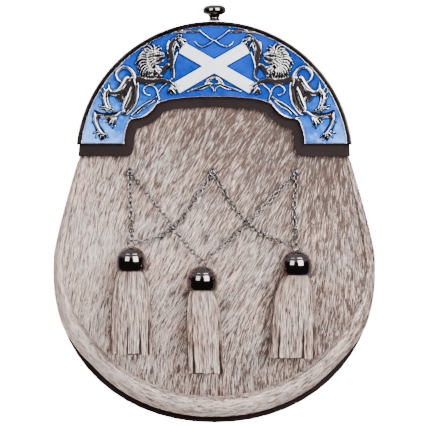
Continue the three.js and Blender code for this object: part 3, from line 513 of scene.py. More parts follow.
def half_outline(name, flank_steps=60, belly_steps=240):
    """From the join on the right flank down to the lowest point."""
    edge = OUTLINES[name]
    start = math.sqrt(edge["arc"] ** 2 - JOIN_UP ** 2)
    up = np.linspace(JOIN_UP, -WIDEST_DROP, flank_steps, endpoint=False)
    share = (up + WIDEST_DROP) / (JOIN_UP + WIDEST_DROP)
    flank = np.stack([edge["wide"] - (edge["wide"] - start) * share ** FLANK_CURVE, up], axis=-1)
    angle = np.linspace(0, math.pi / 2, belly_steps)
    across = edge["wide"] * np.maximum(np.cos(angle), 0) ** (2 / edge["power"])
    down = edge["round"] + (edge["drop"] - edge["round"]) * np.sin(angle) ** (2 / edge["power"])
    line = np.concatenate([flank, np.stack([across, -down], axis=-1)])
    out = line - [0, -edge["round"]]
    inward = edge.get("tuck", 0.0) * np.interp(line[:, 1], TUCK_UP, [1, 0])
    return line - out * (inward / np.linalg.norm(out, axis=1))[:, None]


def evenly(line, count):
    """The same line through this many points, evenly spaced."""
    steps = np.hypot(*np.diff(line, axis=0).T)
    run = np.concatenate([[0], np.cumsum(steps)])
    at = np.linspace(0, run[-1], count)
    return np.stack([np.interp(at, run, line[:, 0]), np.interp(at, run, line[:, 1])], axis=-1)


def belly_outline(name, count):
    """From the join on the left, round the belly, to the join on the right."""
    right = half_outline(name)
    left = right * [-1, 1]
    return evenly(np.concatenate([left, right[::-1][1:]]), count)


print("the band's outline is", round(float(np.ptp(belly_outline('band', 200)[:, 0])), 1), "mm wide")

# %% [markdown]
# ## The domed front
#
# The front is a piece of hide drawn over a shaped board, so it bulges evenly in the middle and dips at
# its seam. The depth of any point on it follows from two or three sizes, and the same function later
# tells the hair, the bells and the chains where the surface is.

# %% Depth of the front
SEAM_DIP, LOW_SEAM_DIP = 1.1, 1.0
SEAM_STARTS = 0.93


def outness(across, up):
    """0 in the middle of the belly, 1 where the bulge ends."""
    rise = np.where(up > -WIDEST_DROP, WIDEST_DROP + BULGE_TOP_UP, OUTLINES["front"]["drop"] - WIDEST_DROP)
    return np.hypot(across / OUTLINES["front"]["wide"], (up + WIDEST_DROP) / rise)


def front_depth(across, up):
    return POUCH_DEPTH + BELLY_BULGE * np.maximum(0, 1 - outness(across, up) ** BULGE_POWER)


def seam_dip(across, up):
    """How far the hide is drawn in towards its seam, most of all round the bottom."""
    out = outness(across, np.minimum(up, -WIDEST_DROP))
    near = np.clip((out - SEAM_STARTS) / (1 - SEAM_STARTS), 0, 1)
    return near ** 1.6 * (SEAM_DIP + LOW_SEAM_DIP * np.clip((-up - 60) / 40, 0, 1))


print("the belly stands", float(front_depth(0, -WIDEST_DROP)), "mm deep")

# %% [markdown]
# ## The hide of the front
#
# The skin itself hardly shows between the hairs, but it has to be there, dark and slightly streaked, or
# the hair would look thin. It could be the solid with a new finish. A mesh of its own bulges more
# smoothly: a fan of rings from the middle of the belly out to the seam, with the hide's thickness behind.

# %% The front's hide
HIDE_WALL = 3.0
RINGS = 44


def front_edge():
    """The whole seam: the top arc under the cantle and the belly."""
    low = math.asin(JOIN_UP / OUTLINES["front"]["arc"])
    angle = np.linspace(low, math.pi - low, 90)
    arc = OUTLINES["front"]["arc"] * np.stack([np.cos(angle), np.sin(angle)], axis=-1)
    return np.concatenate([arc, belly_outline("front", 200)[1:-1]])


def front_panel():
    edge = front_edge()
    share = np.linspace(0.02, 1, RINGS) ** 0.85
    across = share[:, None] * edge[None, :, 0]
    up = -WIDEST_DROP + share[:, None] * (edge[None, :, 1] + WIDEST_DROP)
    deep = front_depth(across, up) - seam_dip(across, up)
    front = np.stack([across, deep, up], axis=-1)
    back = front - [0, HIDE_WALL, 0]
    rows = np.concatenate([front, back[::-1]])
    columns = len(edge)
    faces = grid_faces(len(rows), columns, closed=True)
    faces += [cap_face(0, columns, True), cap_face((len(rows) - 1) * columns, columns)]
    return rows.reshape(-1, 3), faces


make_piece("front_hide", *front_panel(), hide_skin, "hide", ["front_panel"])

# %% [markdown]
# ## The rolled band of hide
#
# Round the front runs a second strip of the same hide, rolled over from the seam to the back panel. Its
# section starts in the crease of the seam, rises, turns over the edge and runs back. That section is a
# short table of shares, swept round the outline, so it grows wider towards the bottom as the band does.

# %% The band
ROLL = {
    "out": [0, 0.04, 0.1, 0.2, 0.3, 0.42, 0.52, 0.63, 0.72, 0.81, 0.88, 0.94, 0.97, 1.0],
    "deep": [0.90, 0.945, 0.985, 1.01, 1.01, 0.99, 0.96, 0.90, 0.82, 0.71, 0.58, 0.42, 0.28, 0.0],
}
BAND_STATIONS = 260


def band_grid():
    """Places on the band: stations round the belly by steps over the roll."""
    outer = belly_outline("band", BAND_STATIONS)
    inner = belly_outline("front", BAND_STATIONS)
    out = np.array(ROLL["out"])
    deep = PANEL_FRONT + (POUCH_DEPTH - PANEL_FRONT) * np.array(ROLL["deep"])
    flat = inner[:, None, :] + (outer - inner)[:, None, :] * (0.02 + 0.98 * out[None, :, None])
    depth = np.broadcast_to(deep[None, :], flat.shape[:2])
    return np.stack([flat[..., 0], depth, flat[..., 1]], axis=-1)


band = band_grid()
inside = band + (np.array([0.0, POUCH_DEPTH / 2, -WIDEST_DROP]) - band) * [0.024, 0.12, 0.024]
shell = np.concatenate([band, inside[:, ::-1]], axis=1)
stations, around = shell.shape[:2]
band_faces = grid_faces(stations, around, closed=True)
band_faces += [cap_face(0, around, True), cap_face((stations - 1) * around, around)]
make_piece("band_hide", shell.reshape(-1, 3), band_faces, hide_skin, "hide", ["hide_gusset"])

# %% [markdown]
# ## Growing the hair
#
# Blender can grow hair with particles, but a part that other people will open is safer with plain
# meshes, and short hide hair doesn't need physics. Each strand here is a narrow ribbon of a few faces
# that leaves the skin, bends over and lies along it, tapering to a point. What makes it look like hair
# is in the numbers: which way it lies at each place, how its length, height and roll differ from its
# neighbours, and above all that light and dark strands come in streaks that run with the hair.

# %% Ribbons along given paths
TAPER = (0.85, 1.0, 0.2)
RISE = (0.0, 1.0, 0.9)


def ribbons(name, paths, outward, widths, tone, stands_for=()):
    """paths and outward: strands by steps by three, in mm. One ribbon of faces for each strand."""
    strands, steps = paths.shape[:2]
    along = np.gradient(paths, axis=1)
    side = np.cross(along, outward)
    side /= np.maximum(np.linalg.norm(side, axis=-1, keepdims=True), 1e-9)
    half = (widths[:, None] * np.array(TAPER)[None, :])[..., None] / 2
    points = np.stack([paths - side * half, paths + side * half], axis=2)
    start = (np.arange(strands) * steps * 2)[:, None, None]
    step = (np.arange(steps - 1) * 2)[None, :, None]
    faces = (start + step + np.array([0, 1, 3, 2])).reshape(-1, 4).tolist()
    values = {
        "tone": np.repeat(tone, steps * 2),
        "along": np.tile(np.repeat(np.linspace(0, 1, steps), 2), strands),
    }
    return make_piece(name, points.reshape(-1, 3), faces, short_hair, "hide", stands_for, values=values)


def patches(seed, across, up, wide, tall):
    """Smooth random values from 0 to 1, in patches this wide and tall in mm."""
    table = np.random.default_rng(seed).random((256, 256))
    u, v = np.asarray(across) / wide + 500.0, np.asarray(up) / tall + 500.0
    i, j = np.floor(u).astype(int), np.floor(v).astype(int)
    a, b = u - i, v - j
    a, b = a * a * (3 - 2 * a), b * b * (3 - 2 * b)

    def corner(di, dj):
        return table[(i + di) % 256, (j + dj) % 256]

    low = corner(0, 0) * (1 - a) + corner(1, 0) * a
    high = corner(0, 1) * (1 - a) + corner(1, 1) * a
    return low * (1 - b) + high * b


# %% [markdown]
# ## Where the tassels hang
#
# The hair beside and under the three tassels is darkened with painted shadow, mostly along each tassel's
# left side and under its end, so their places are needed here, before the hair is grown and long before
# the tassels are made. All three have the same bell and the same length, and each fans out a little
# differently to its left and right.

# %% Places of the tassels, and the shadow painted round them on the hair
TASSELS = {
    "left": {"across": -48.3, "top": -50.7, "left": 12.9, "right": 12.9},
    "centre": {"across": -7.0, "top": -61.9, "left": 8.9, "right": 13.5},
    "right": {"across": 47.8, "top": -53.0, "left": 16.4, "right": 12.1},
}
BELL_HEIGHT = 14.4
TASSEL_LENGTH = 48.0
# how narrow the painted tassel shadow is at the bell, and how far out it reaches
SHADOW_HEAD = 7.0
SHADOW_REACH = 2.3


def tassel_shadow(across, up):
    """Painted shadow of the tassels on the hair, mostly along each one's left side and under its end."""
    most = np.zeros_like(across)
    for tassel in TASSELS.values():
        down = (tassel["top"] - BELL_HEIGHT - up) / TASSEL_LENGTH
        fan = np.clip(down, 0, 1) ** 0.4
        left = tassel["across"] - SHADOW_HEAD - (tassel["left"] - SHADOW_HEAD) * fan
        right = tassel["across"] + SHADOW_HEAD + (tassel["right"] - SHADOW_HEAD) * fan
        beside = np.maximum(left - across, (across - right) * 2)
        away = np.hypot(np.maximum(beside, 0), np.maximum((down - 1) * TASSEL_LENGTH, 0))
        most = np.maximum(most, np.where(down > -0.08, np.exp(-(away / SHADOW_REACH) ** 2), 0))
    return most


print("the tassels hang at", [tassel["across"] for tassel in TASSELS.values()], "mm across")

# %% [markdown]
# ## Lean and streaks of the front's hair
#
# On the pouch in the photo the hair leans: in the upper middle it runs down to the left at about thirty
# degrees, on the left flank less, on the right flank straight down, and towards the bottom it hangs
# straight. A small table gives that lean across the pouch, a fade takes it away towards the bottom, and
# broad noise makes it wander. Streaks come from noise that is stretched along the same lean. The
# stretched noise is turned in even steps and blended from one to the next, because noise that turns at
# every point would shear into blotches. One more table makes the hide paler on the left and darker on
# the right, and another darkens it with painted shade at the bottom and most of all under the cantle.

# %% Lean and streaks
LEAN = {
    "across": [-90, -60, -25, 15, 45, 70, 90],
    "degrees": [12, 17, 25, 31, 22, 5, -4],
}
LIGHTER = {"across": [-90, -55, -20, 50, 90], "by": [0.14, 0.10, -0.01, -0.15, -0.20]}
# painted shade: darker at the bottom and most of all under the cantle
SHADE_BY_HEIGHT = {"up": [-140, -95, -50, 0, 30], "by": [-0.10, -0.01, 0.01, -0.20, -0.30]}
TURN_STEP = math.radians(9)


def lean(across, up):
    base = np.interp(across, LEAN["across"], LEAN["degrees"])
    fade = np.interp(up, [-128, -88], [0.12, 1.0])
    wander = (patches(3, across, up, 16, 22) - 0.5) * 12
    return np.radians(base * fade + wander)


def streaks(across, up, turn, seed):
    """Light and dark lines that run with the hair, from fields of noise turned in even steps."""
    step = np.floor(turn / TURN_STEP)
    share = np.clip((turn / TURN_STEP - step - 0.5) * 2.5 + 0.5, 0, 1)
    tone = 0.0
    for number, weight in ((step, 1 - share), (step + 1, share)):
        angle = number * TURN_STEP
        beside = across * np.cos(angle) - up * np.sin(angle) + 31 * number
        with_it = across * np.sin(angle) + up * np.cos(angle)
        fine = patches(seed, beside, with_it, 0.38, 4.0)
        middle = patches(seed + 1, beside, with_it, 0.8, 7)
        tone = tone + weight * (0.72 * fine + 0.16 * middle + 0.06)
    return tone


print("the hair in the middle leans by", round(math.degrees(float(lean(0.0, -WIDEST_DROP)))), "degrees")

# %% [markdown]
# ## The hair on the front
#
# Hair on a hide stands in two lengths: short hair that covers the skin, and longer hair over it. So the
# front is sown twice, the second time with strands that stand a little higher. A strand is three points
# long: it leaves the skin, bends over, and lies down along the lean of its place. Its colour carries
# painted shadow beside and under the tassels, and painted shade in the seam round the bottom.

# %% Hair on the front
FRONT_STRANDS = {"length": (5.0, 8.5), "width": (0.20, 0.36)}
SOWN = {"half_wide": 88.5, "low": -138.5, "high": 48}
# how much the painted tassel shadow and the painted shade in the seam darken the hair
TASSEL_SHADOW_DARKER = 0.17
SEAM_SHADE = 0.07


def grow_front(name, count, seed, height):
    dice = np.random.default_rng(seed)
    across = dice.uniform(-SOWN["half_wide"], SOWN["half_wide"], count * 2)
    up = dice.uniform(SOWN["low"], SOWN["high"], count * 2)
    held = outline_holds(across, up)
    across, up = across[held][:count], up[held][:count]
    count = len(across)
    length = dice.uniform(*FRONT_STRANDS["length"], count)
    turn = lean(across, up) + dice.normal(0, 0.065, count)
    bend = dice.normal(0, 0.07, count)
    share = np.linspace(0, 1, 3)
    angle = turn[:, None] + bend[:, None] * share[None, :]
    step = length[:, None] / 2
    x = across[:, None] - np.cumsum(np.sin(angle) * step, axis=1) + np.sin(angle[:, :1]) * step
    z = up[:, None] - np.cumsum(np.cos(angle) * step, axis=1) + np.cos(angle[:, :1]) * step
    lift = dice.uniform(0.35, 1.0, count)[:, None] * height * np.array(RISE)[None, :]
    y = front_depth(x, z) - seam_dip(x, z) - 0.12 + lift
    paths = np.stack([x, y, z], axis=-1)
    roll = dice.normal(0, 0.35, (count, 1))
    outward = np.stack(np.broadcast_arrays(np.sin(roll), np.cos(roll), 0 * roll), axis=-1)
    outward = np.broadcast_to(outward, paths.shape)
    tone = streaks(across, up, lean(across, up), 11) + dice.normal(0, 0.25, count)
    tone += np.interp(across, LIGHTER["across"], LIGHTER["by"])
    # painted shade at the bottom and under the cantle
    tone += np.interp(up, SHADE_BY_HEIGHT["up"], SHADE_BY_HEIGHT["by"])
    # painted shadow of the tassels
    tone -= TASSEL_SHADOW_DARKER * tassel_shadow(x[:, 1], z[:, 1])
    # painted shade in the seam round the bottom
    edge = OUTLINES["front"]
    out = np.hypot(across / edge["wide"], (up + WIDEST_DROP) / (edge["drop"] - WIDEST_DROP))
    tone -= SEAM_SHADE * np.clip((out - 0.955) / 0.035, 0, 1) * np.clip((-up - 75) / 20, 0, 1)
    widths = dice.uniform(*FRONT_STRANDS["width"], count)
    return ribbons(name, paths, outward, widths, np.clip(spread(tone), 0, 1))


def outline_holds(across, up):
    """Whether a place lies on the front panel, below the cantle's opening edge."""
    edge = OUTLINES["front"]
    low = np.hypot(across / edge["wide"], (up + WIDEST_DROP) / (edge["drop"] - WIDEST_DROP)) < 0.995
    start = math.sqrt(edge["arc"] ** 2 - JOIN_UP ** 2)
    share = np.clip((up + WIDEST_DROP) / (JOIN_UP + WIDEST_DROP), 0, 1)
    flank = np.abs(across) < edge["wide"] - (edge["wide"] - start) * share ** FLANK_CURVE
    top = (up < 4) | (np.hypot(across, up) < edge["arc"] - 4)
    return np.where(up < -WIDEST_DROP, low, flank & top)


def spread(tone):
    """Stretch the streaks' narrow range of values to most of the ramp."""
    return 0.56 + (tone - 0.5) * 2.35


for layer, (count, height) in enumerate(((36000, 0.55), (44000, 0.95))):
    grow_front(f"front_hair_{layer}", count, 20 + layer, height)

# %% [markdown]
# ## The hair on the band
#
# On the band the hair runs along the strip, down both sides to the bottom. The strands follow the grid
# of the band itself: a strand starts at some station and some step of the roll, and the next points of
# its path are read from the same grid a few millimetres further on. Like the front, the band is paler
# on its left flank than on its right.

# %% Hair along the band
def grid_at(grid, station, step):
    """Places between the points of a grid."""
    station = np.clip(station, 0, grid.shape[0] - 1.001)
    step = np.clip(step, 0, grid.shape[1] - 1.001)
    i, j = station.astype(int), step.astype(int)
    a, b = (station - i)[..., None], (step - j)[..., None]
    low = grid[i, j] * (1 - a) + grid[i + 1, j] * a
    high = grid[i, j + 1] * (1 - a) + grid[i + 1, j + 1] * a
    return low * (1 - b) + high * b


BAND_STRANDS = {"length": (5.0, 9.0), "width": (0.24, 0.42)}
BAND_LIGHTER = {"across": [-92, -75, 0, 75, 92], "by": [0.21, 0.05, -0.01, -0.08, -0.20]}


def grow_band(name, count, seed, height):
    dice = np.random.default_rng(seed)
    steps = band.shape[1]
    roll = dice.uniform(0, 1, count) ** 0.9
    widths = np.linalg.norm(np.diff(band[BAND_STATIONS // 2], axis=0), axis=-1)
    run = np.concatenate([[0], np.cumsum(widths)]) / widths.sum()
    step = np.interp(roll, run, np.arange(steps))
    station = dice.uniform(0, BAND_STATIONS - 1, count)
    middle = (BAND_STATIONS - 1) / 2
    way = np.where(station + dice.normal(0, 6, count) < middle, 1.0, -1.0)
    length = dice.uniform(*BAND_STRANDS["length"], count)
    pitch = np.linalg.norm(np.diff(belly_outline("band", BAND_STATIONS), axis=0), axis=-1).mean()
    share = np.linspace(0, 1, 3)[None, :]
    drift = dice.normal(0.12, 0.55, (count, 1)) * share
    at = station[:, None] + (way * length / pitch)[:, None] * share
    across_roll = step[:, None] + drift
    places = grid_at(band, at, across_roll)
    ahead = grid_at(band, at + 0.5, across_roll) - grid_at(band, at - 0.5, across_roll)
    over = grid_at(band, at, across_roll + 0.4) - grid_at(band, at, across_roll - 0.4)
    outward = np.cross(ahead, over)
    outward /= np.maximum(np.linalg.norm(outward, axis=-1, keepdims=True), 1e-9)
    centre = np.array([0.0, 10.0, -WIDEST_DROP])
    outward *= np.sign(np.sum(outward * (places - centre), axis=-1, keepdims=True))
    lift = dice.uniform(0.3, 1.0, (count, 1)) * height * np.array(RISE)[None, :]
    paths = places + outward * (lift - 0.1)[..., None]
    roll_turn = dice.normal(0, 0.3, (count, 1, 1))
    outward = outward + np.cross(outward, ahead / np.linalg.norm(ahead, axis=-1, keepdims=True)) * roll_turn
    run_mm = roll * widths.sum()
    tone = streaks(run_mm, station * pitch, np.zeros(count), 41) + dice.normal(0, 0.22, count)
    # painted shade in the crease beside the seam round the bottom, and the rest of the band there a little
    # lighter
    tone += np.where(run_mm < 1.2, -0.08, 0.04) * np.clip((-places[:, 0, 2] - 75) / 20, 0, 1)
    tone += np.interp(places[:, 0, 0], BAND_LIGHTER["across"], BAND_LIGHTER["by"])
    widths = dice.uniform(*BAND_STRANDS["width"], count)
    return ribbons(name, paths, outward, widths, np.clip(spread(tone) + 0.10, 0, 1))


grow_band("band_hair_0", 24000, 50, 0.5)
grow_band("band_hair_1", 30000, 51, 0.85)

# %% [markdown]
# ## The yoke and the back
#
# Under the metal lies a layer of dark leather that shows as a border inside the arch and just below its
# ends. The back panel, its flap and the strap loops are the same leather. Their CAD solids have the
# true shape and place, so they stay, and get the leather finish and a softened edge from a bevel.

# %% Leather parts that keep their solids
def dress(node, material, bevel_mm=0.0):
    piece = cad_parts[node]
    piece.data.materials.clear()
    piece.data.materials.append(material)
    if bevel_mm:
        edge = piece.modifiers.new("soft_edge", "BEVEL")
        edge.width = bevel_mm * MM
        edge.segments = 3
        edge.limit_method = "ANGLE"
        edge.angle_limit = math.radians(40)
    return piece


for node in ("yoke", "back_panel", "back_flap", "strap_loop_left", "strap_loop_right"):
    dress(node, dark_leather, 0.5)
print("the leather parts are dressed")

# %% [markdown]
# ## The edge of the cantle
#
# The cantle's outline is an arc on the outside and a stepped, curling line on the inside. The inner
# line is a short table of turning points, as shares of the cantle's radius. A Catmull-Rom curve
# through them gives the smooth edge that the casting has, and moving that line sideways gives every
# other line that runs along it.

# %% The inner edge as a smooth line
INNER_EDGE = {
    "across": [0.647, 0.643, 0.636, 0.621, 0.602, 0.544, 0.481, 0.44, 0.409, 0.366, 0.293, 0.15, 0.0],
    "up": [0.112, 0.160, 0.202, 0.248, 0.285, 0.298, 0.326, 0.365, 0.401, 0.417, 0.434, 0.447, 0.451],
}
CANTLE_END_UP = 9.1


def smooth_line(points, steps):
    """A Catmull-Rom curve through the points, steps for each stretch."""
    points = np.asarray(points, float)
    ends = np.concatenate([2 * points[:1] - points[1:2], points, 2 * points[-1:] - points[-2:-1]])
    t = np.linspace(0, 1, steps, endpoint=False)[:, None]
    stretches = []
    for a, b, c, d in zip(ends, ends[1:], ends[2:], ends[3:]):
        stretches.append(0.5 * (2 * b + (c - a) * t + (2 * a - 5 * b + 4 * c - d) * t ** 2
                                + (3 * b - a - 3 * c + d) * t ** 3))
    return np.concatenate(stretches + [points[-1:]])


def moved(line, distance):
    """The line moved sideways, to its left as it runs."""
    along = np.gradient(line, axis=0)
    along /= np.linalg.norm(along, axis=1, keepdims=True)
    return line + distance * np.stack([-along[:, 1], along[:, 0]], axis=-1)


right_edge = CANTLE_RADIUS * smooth_line(np.stack([INNER_EDGE["across"], INNER_EDGE["up"]], axis=-1), 8)
inner_edge = evenly(np.concatenate([right_edge * [-1, 1], right_edge[::-1][1:]]), 320)
print("the inner edge is", round(float(np.ptp(inner_edge[:, 0])), 1), "mm across")


def arc_line(radius, low, count):
    """An arc from its left end over the top to the right."""
    start = math.asin(low / radius)
    angle = np.linspace(math.pi - start, start, count)
    return radius * np.stack([np.cos(angle), np.sin(angle)], axis=-1)


# %% [markdown]
# ## Sweeping a section along a line
#
# The rim, the thin borders and the wires are all a small section carried along a line in the plane of
# the front. The section is a closed loop of pairs: how far to the side of the line, and how deep.

# %% Swept pieces
def swept(line, section):
    """A section of (side, deep) pairs along a line of (across, up) pairs, with its ends capped."""
    along = np.gradient(line, axis=0)
    along /= np.linalg.norm(along, axis=1, keepdims=True)
    side = np.stack([-along[:, 1], along[:, 0]], axis=-1)
    section = np.asarray(section, float)
    flat = line[:, None, :] + side[:, None, :] * section[None, :, :1]
    deep = np.broadcast_to(section[None, :, 1], flat.shape[:2])
    places = np.stack([flat[..., 0], deep, flat[..., 1]], axis=-1)
    rows, columns = places.shape[:2]
    faces = grid_faces(rows, columns, closed=True)
    faces += [cap_face(0, columns, True), cap_face((rows - 1) * columns, columns)]
    return places.reshape(-1, 3), faces


def joined(parts):
    """Several (places, faces) as one."""
    places, faces, start = [], [], 0
    for some_places, some_faces in parts:
        places.append(some_places)
        faces += [[corner + start for corner in face] for face in some_faces]
        start += len(some_places)
    return np.concatenate(places), faces


# %% [markdown]
# ## The band over the top and the rim
#
# Inside the cantle a leather band closes the pouch over its top, and over that band sits the rim of the
# casting: a skirt that reaches back over the leather, and a rounded bead in front. Both are arcs, so
# each is one section swept along one arc. The bead's section is a table of corners close enough
# together to look round, which a bevel would make of a plain box as well.

# %% The leather band over the top
TOP_BAND = [(0.0, PANEL_FRONT), (0.0, POUCH_DEPTH), (-2.0, POUCH_DEPTH), (-2.0, PANEL_FRONT)]
make_piece("top_band", *swept(arc_line(CANTLE_RADIUS - 2.1, JOIN_UP + 0.25, 160), TOP_BAND), dark_leather,
           "leather", ["top_gusset"], sharp=40)

# %% The rim and its skirt
CANTLE_BACK = 29.9
RIM_FRONT = 33.4
SKIRT_BACK = 21.9
RIM_SECTION = [
    (0.0, SKIRT_BACK), (0.0, 32.5), (-0.12, 32.95), (-0.42, 33.25), (-0.8, RIM_FRONT), (-1.5, RIM_FRONT),
    (-1.95, 33.2), (-2.25, 32.8), (-2.35, 32.2), (-2.35, CANTLE_BACK), (-1.1, CANTLE_BACK),
    (-1.1, SKIRT_BACK),
]
rim_line = arc_line(CANTLE_RADIUS, CANTLE_END_UP, 240)
make_piece("cantle_rim", *swept(rim_line, RIM_SECTION), rim_metal, "cast_metal", ["cantle_frame"])

# %% [markdown]
# ## The blue plate
#
# Glass enamel lies in the tray that the casting forms. Its outline is the arc inside the rim and the
# inner edge, so the plate is a strip between those two lines: the same number of points on both, and
# rows of points between them, so that the clouded surface can be very slightly uneven.

# %% Enamel plate
ENAMEL_FRONT = 31.1


def arch_strip(outer_radius, inset, rows, columns=260):
    """Points between the arc and the inner edge, from the left end to the right."""
    low = CANTLE_END_UP + inset
    outer = arc_line(outer_radius, low, columns)
    inner = moved(inner_edge, inset)
    inner[:, 1] = np.maximum(inner[:, 1], low)
    inner = evenly(inner, columns)
    share = np.linspace(0, 1, rows)[:, None, None]
    return outer[None] * (1 - share) + inner[None] * share


strip = arch_strip(CANTLE_RADIUS - 2.2, 0.5, 24)
front = np.stack([strip[..., 0], np.full(strip.shape[:2], ENAMEL_FRONT), strip[..., 1]], axis=-1)
front[..., 1] += 0.10 * (patches(71, strip[..., 0], strip[..., 1], 2.2, 2.2) - 0.5)
back = front.copy()
back[..., 1] = CANTLE_BACK
rows, columns = strip.shape[:2]
plate_faces = grid_faces(rows, columns)
plate_faces += [[a + rows * columns for a in face[::-1]] for face in grid_faces(rows, columns)]
outline = (list(range(columns)) + [r * columns + columns - 1 for r in range(1, rows)]
           + [(rows - 1) * columns + c for c in range(columns - 2, -1, -1)]
           + [r * columns for r in range(rows - 2, 0, -1)])
plate_faces += [[a, b, b + rows * columns, a + rows * columns]
                for a, b in zip(outline, outline[1:] + outline[:1])]
make_piece("blue_plate", np.concatenate([front.reshape(-1, 3), back.reshape(-1, 3)]), plate_faces,
             blue_enamel, "blue_enamel", ["enamel_plate"])

# %% [markdown]
# ## The chased relief
#
# Two lions rear up on either side of the cross, with scrolls, leaves and a knot between them. A caster
# models such relief in wax, lock by lock. Here each lock, limb and wire is a stroke: a line of way
# points with a half width at each, and a form that says how high it stands and how much of it is
# rounded. Flat tops with rounded edges are what makes polished relief read: the flats show the dark
# part of the room and the edges catch the light. The way points were chosen on two enlarged cuts of
# the picture, so they are kept in those pixels, and one function turns them into millimetres.
# Both lions are the same one, mirrored.

# %% From an enlarged picture to millimetres
PIXEL_MM = 0.5864
MIDDLE_ACROSS, SPRING_DOWN = 214.25, 160
LION_PICTURE = {"left": 240, "top": 28, "enlarged": 13.75, "side": -1}
KNOT_PICTURE = {"left": 176, "top": 20, "enlarged": 18.67, "side": 1}


def way_point(x, y, half, picture):
    """A way point in an enlarged picture's pixels becomes mm: across, up and half width."""
    across = picture["side"] * (picture["left"] + x / picture["enlarged"] - MIDDLE_ACROSS) * PIXEL_MM
    up = (SPRING_DOWN - picture["top"] - y / picture["enlarged"]) * PIXEL_MM
    return round(across, 1), round(up, 1), round(half / picture["enlarged"] * PIXEL_MM, 2)


print("one pixel of the lion's picture is", round(PIXEL_MM / LION_PICTURE["enlarged"], 3), "mm")
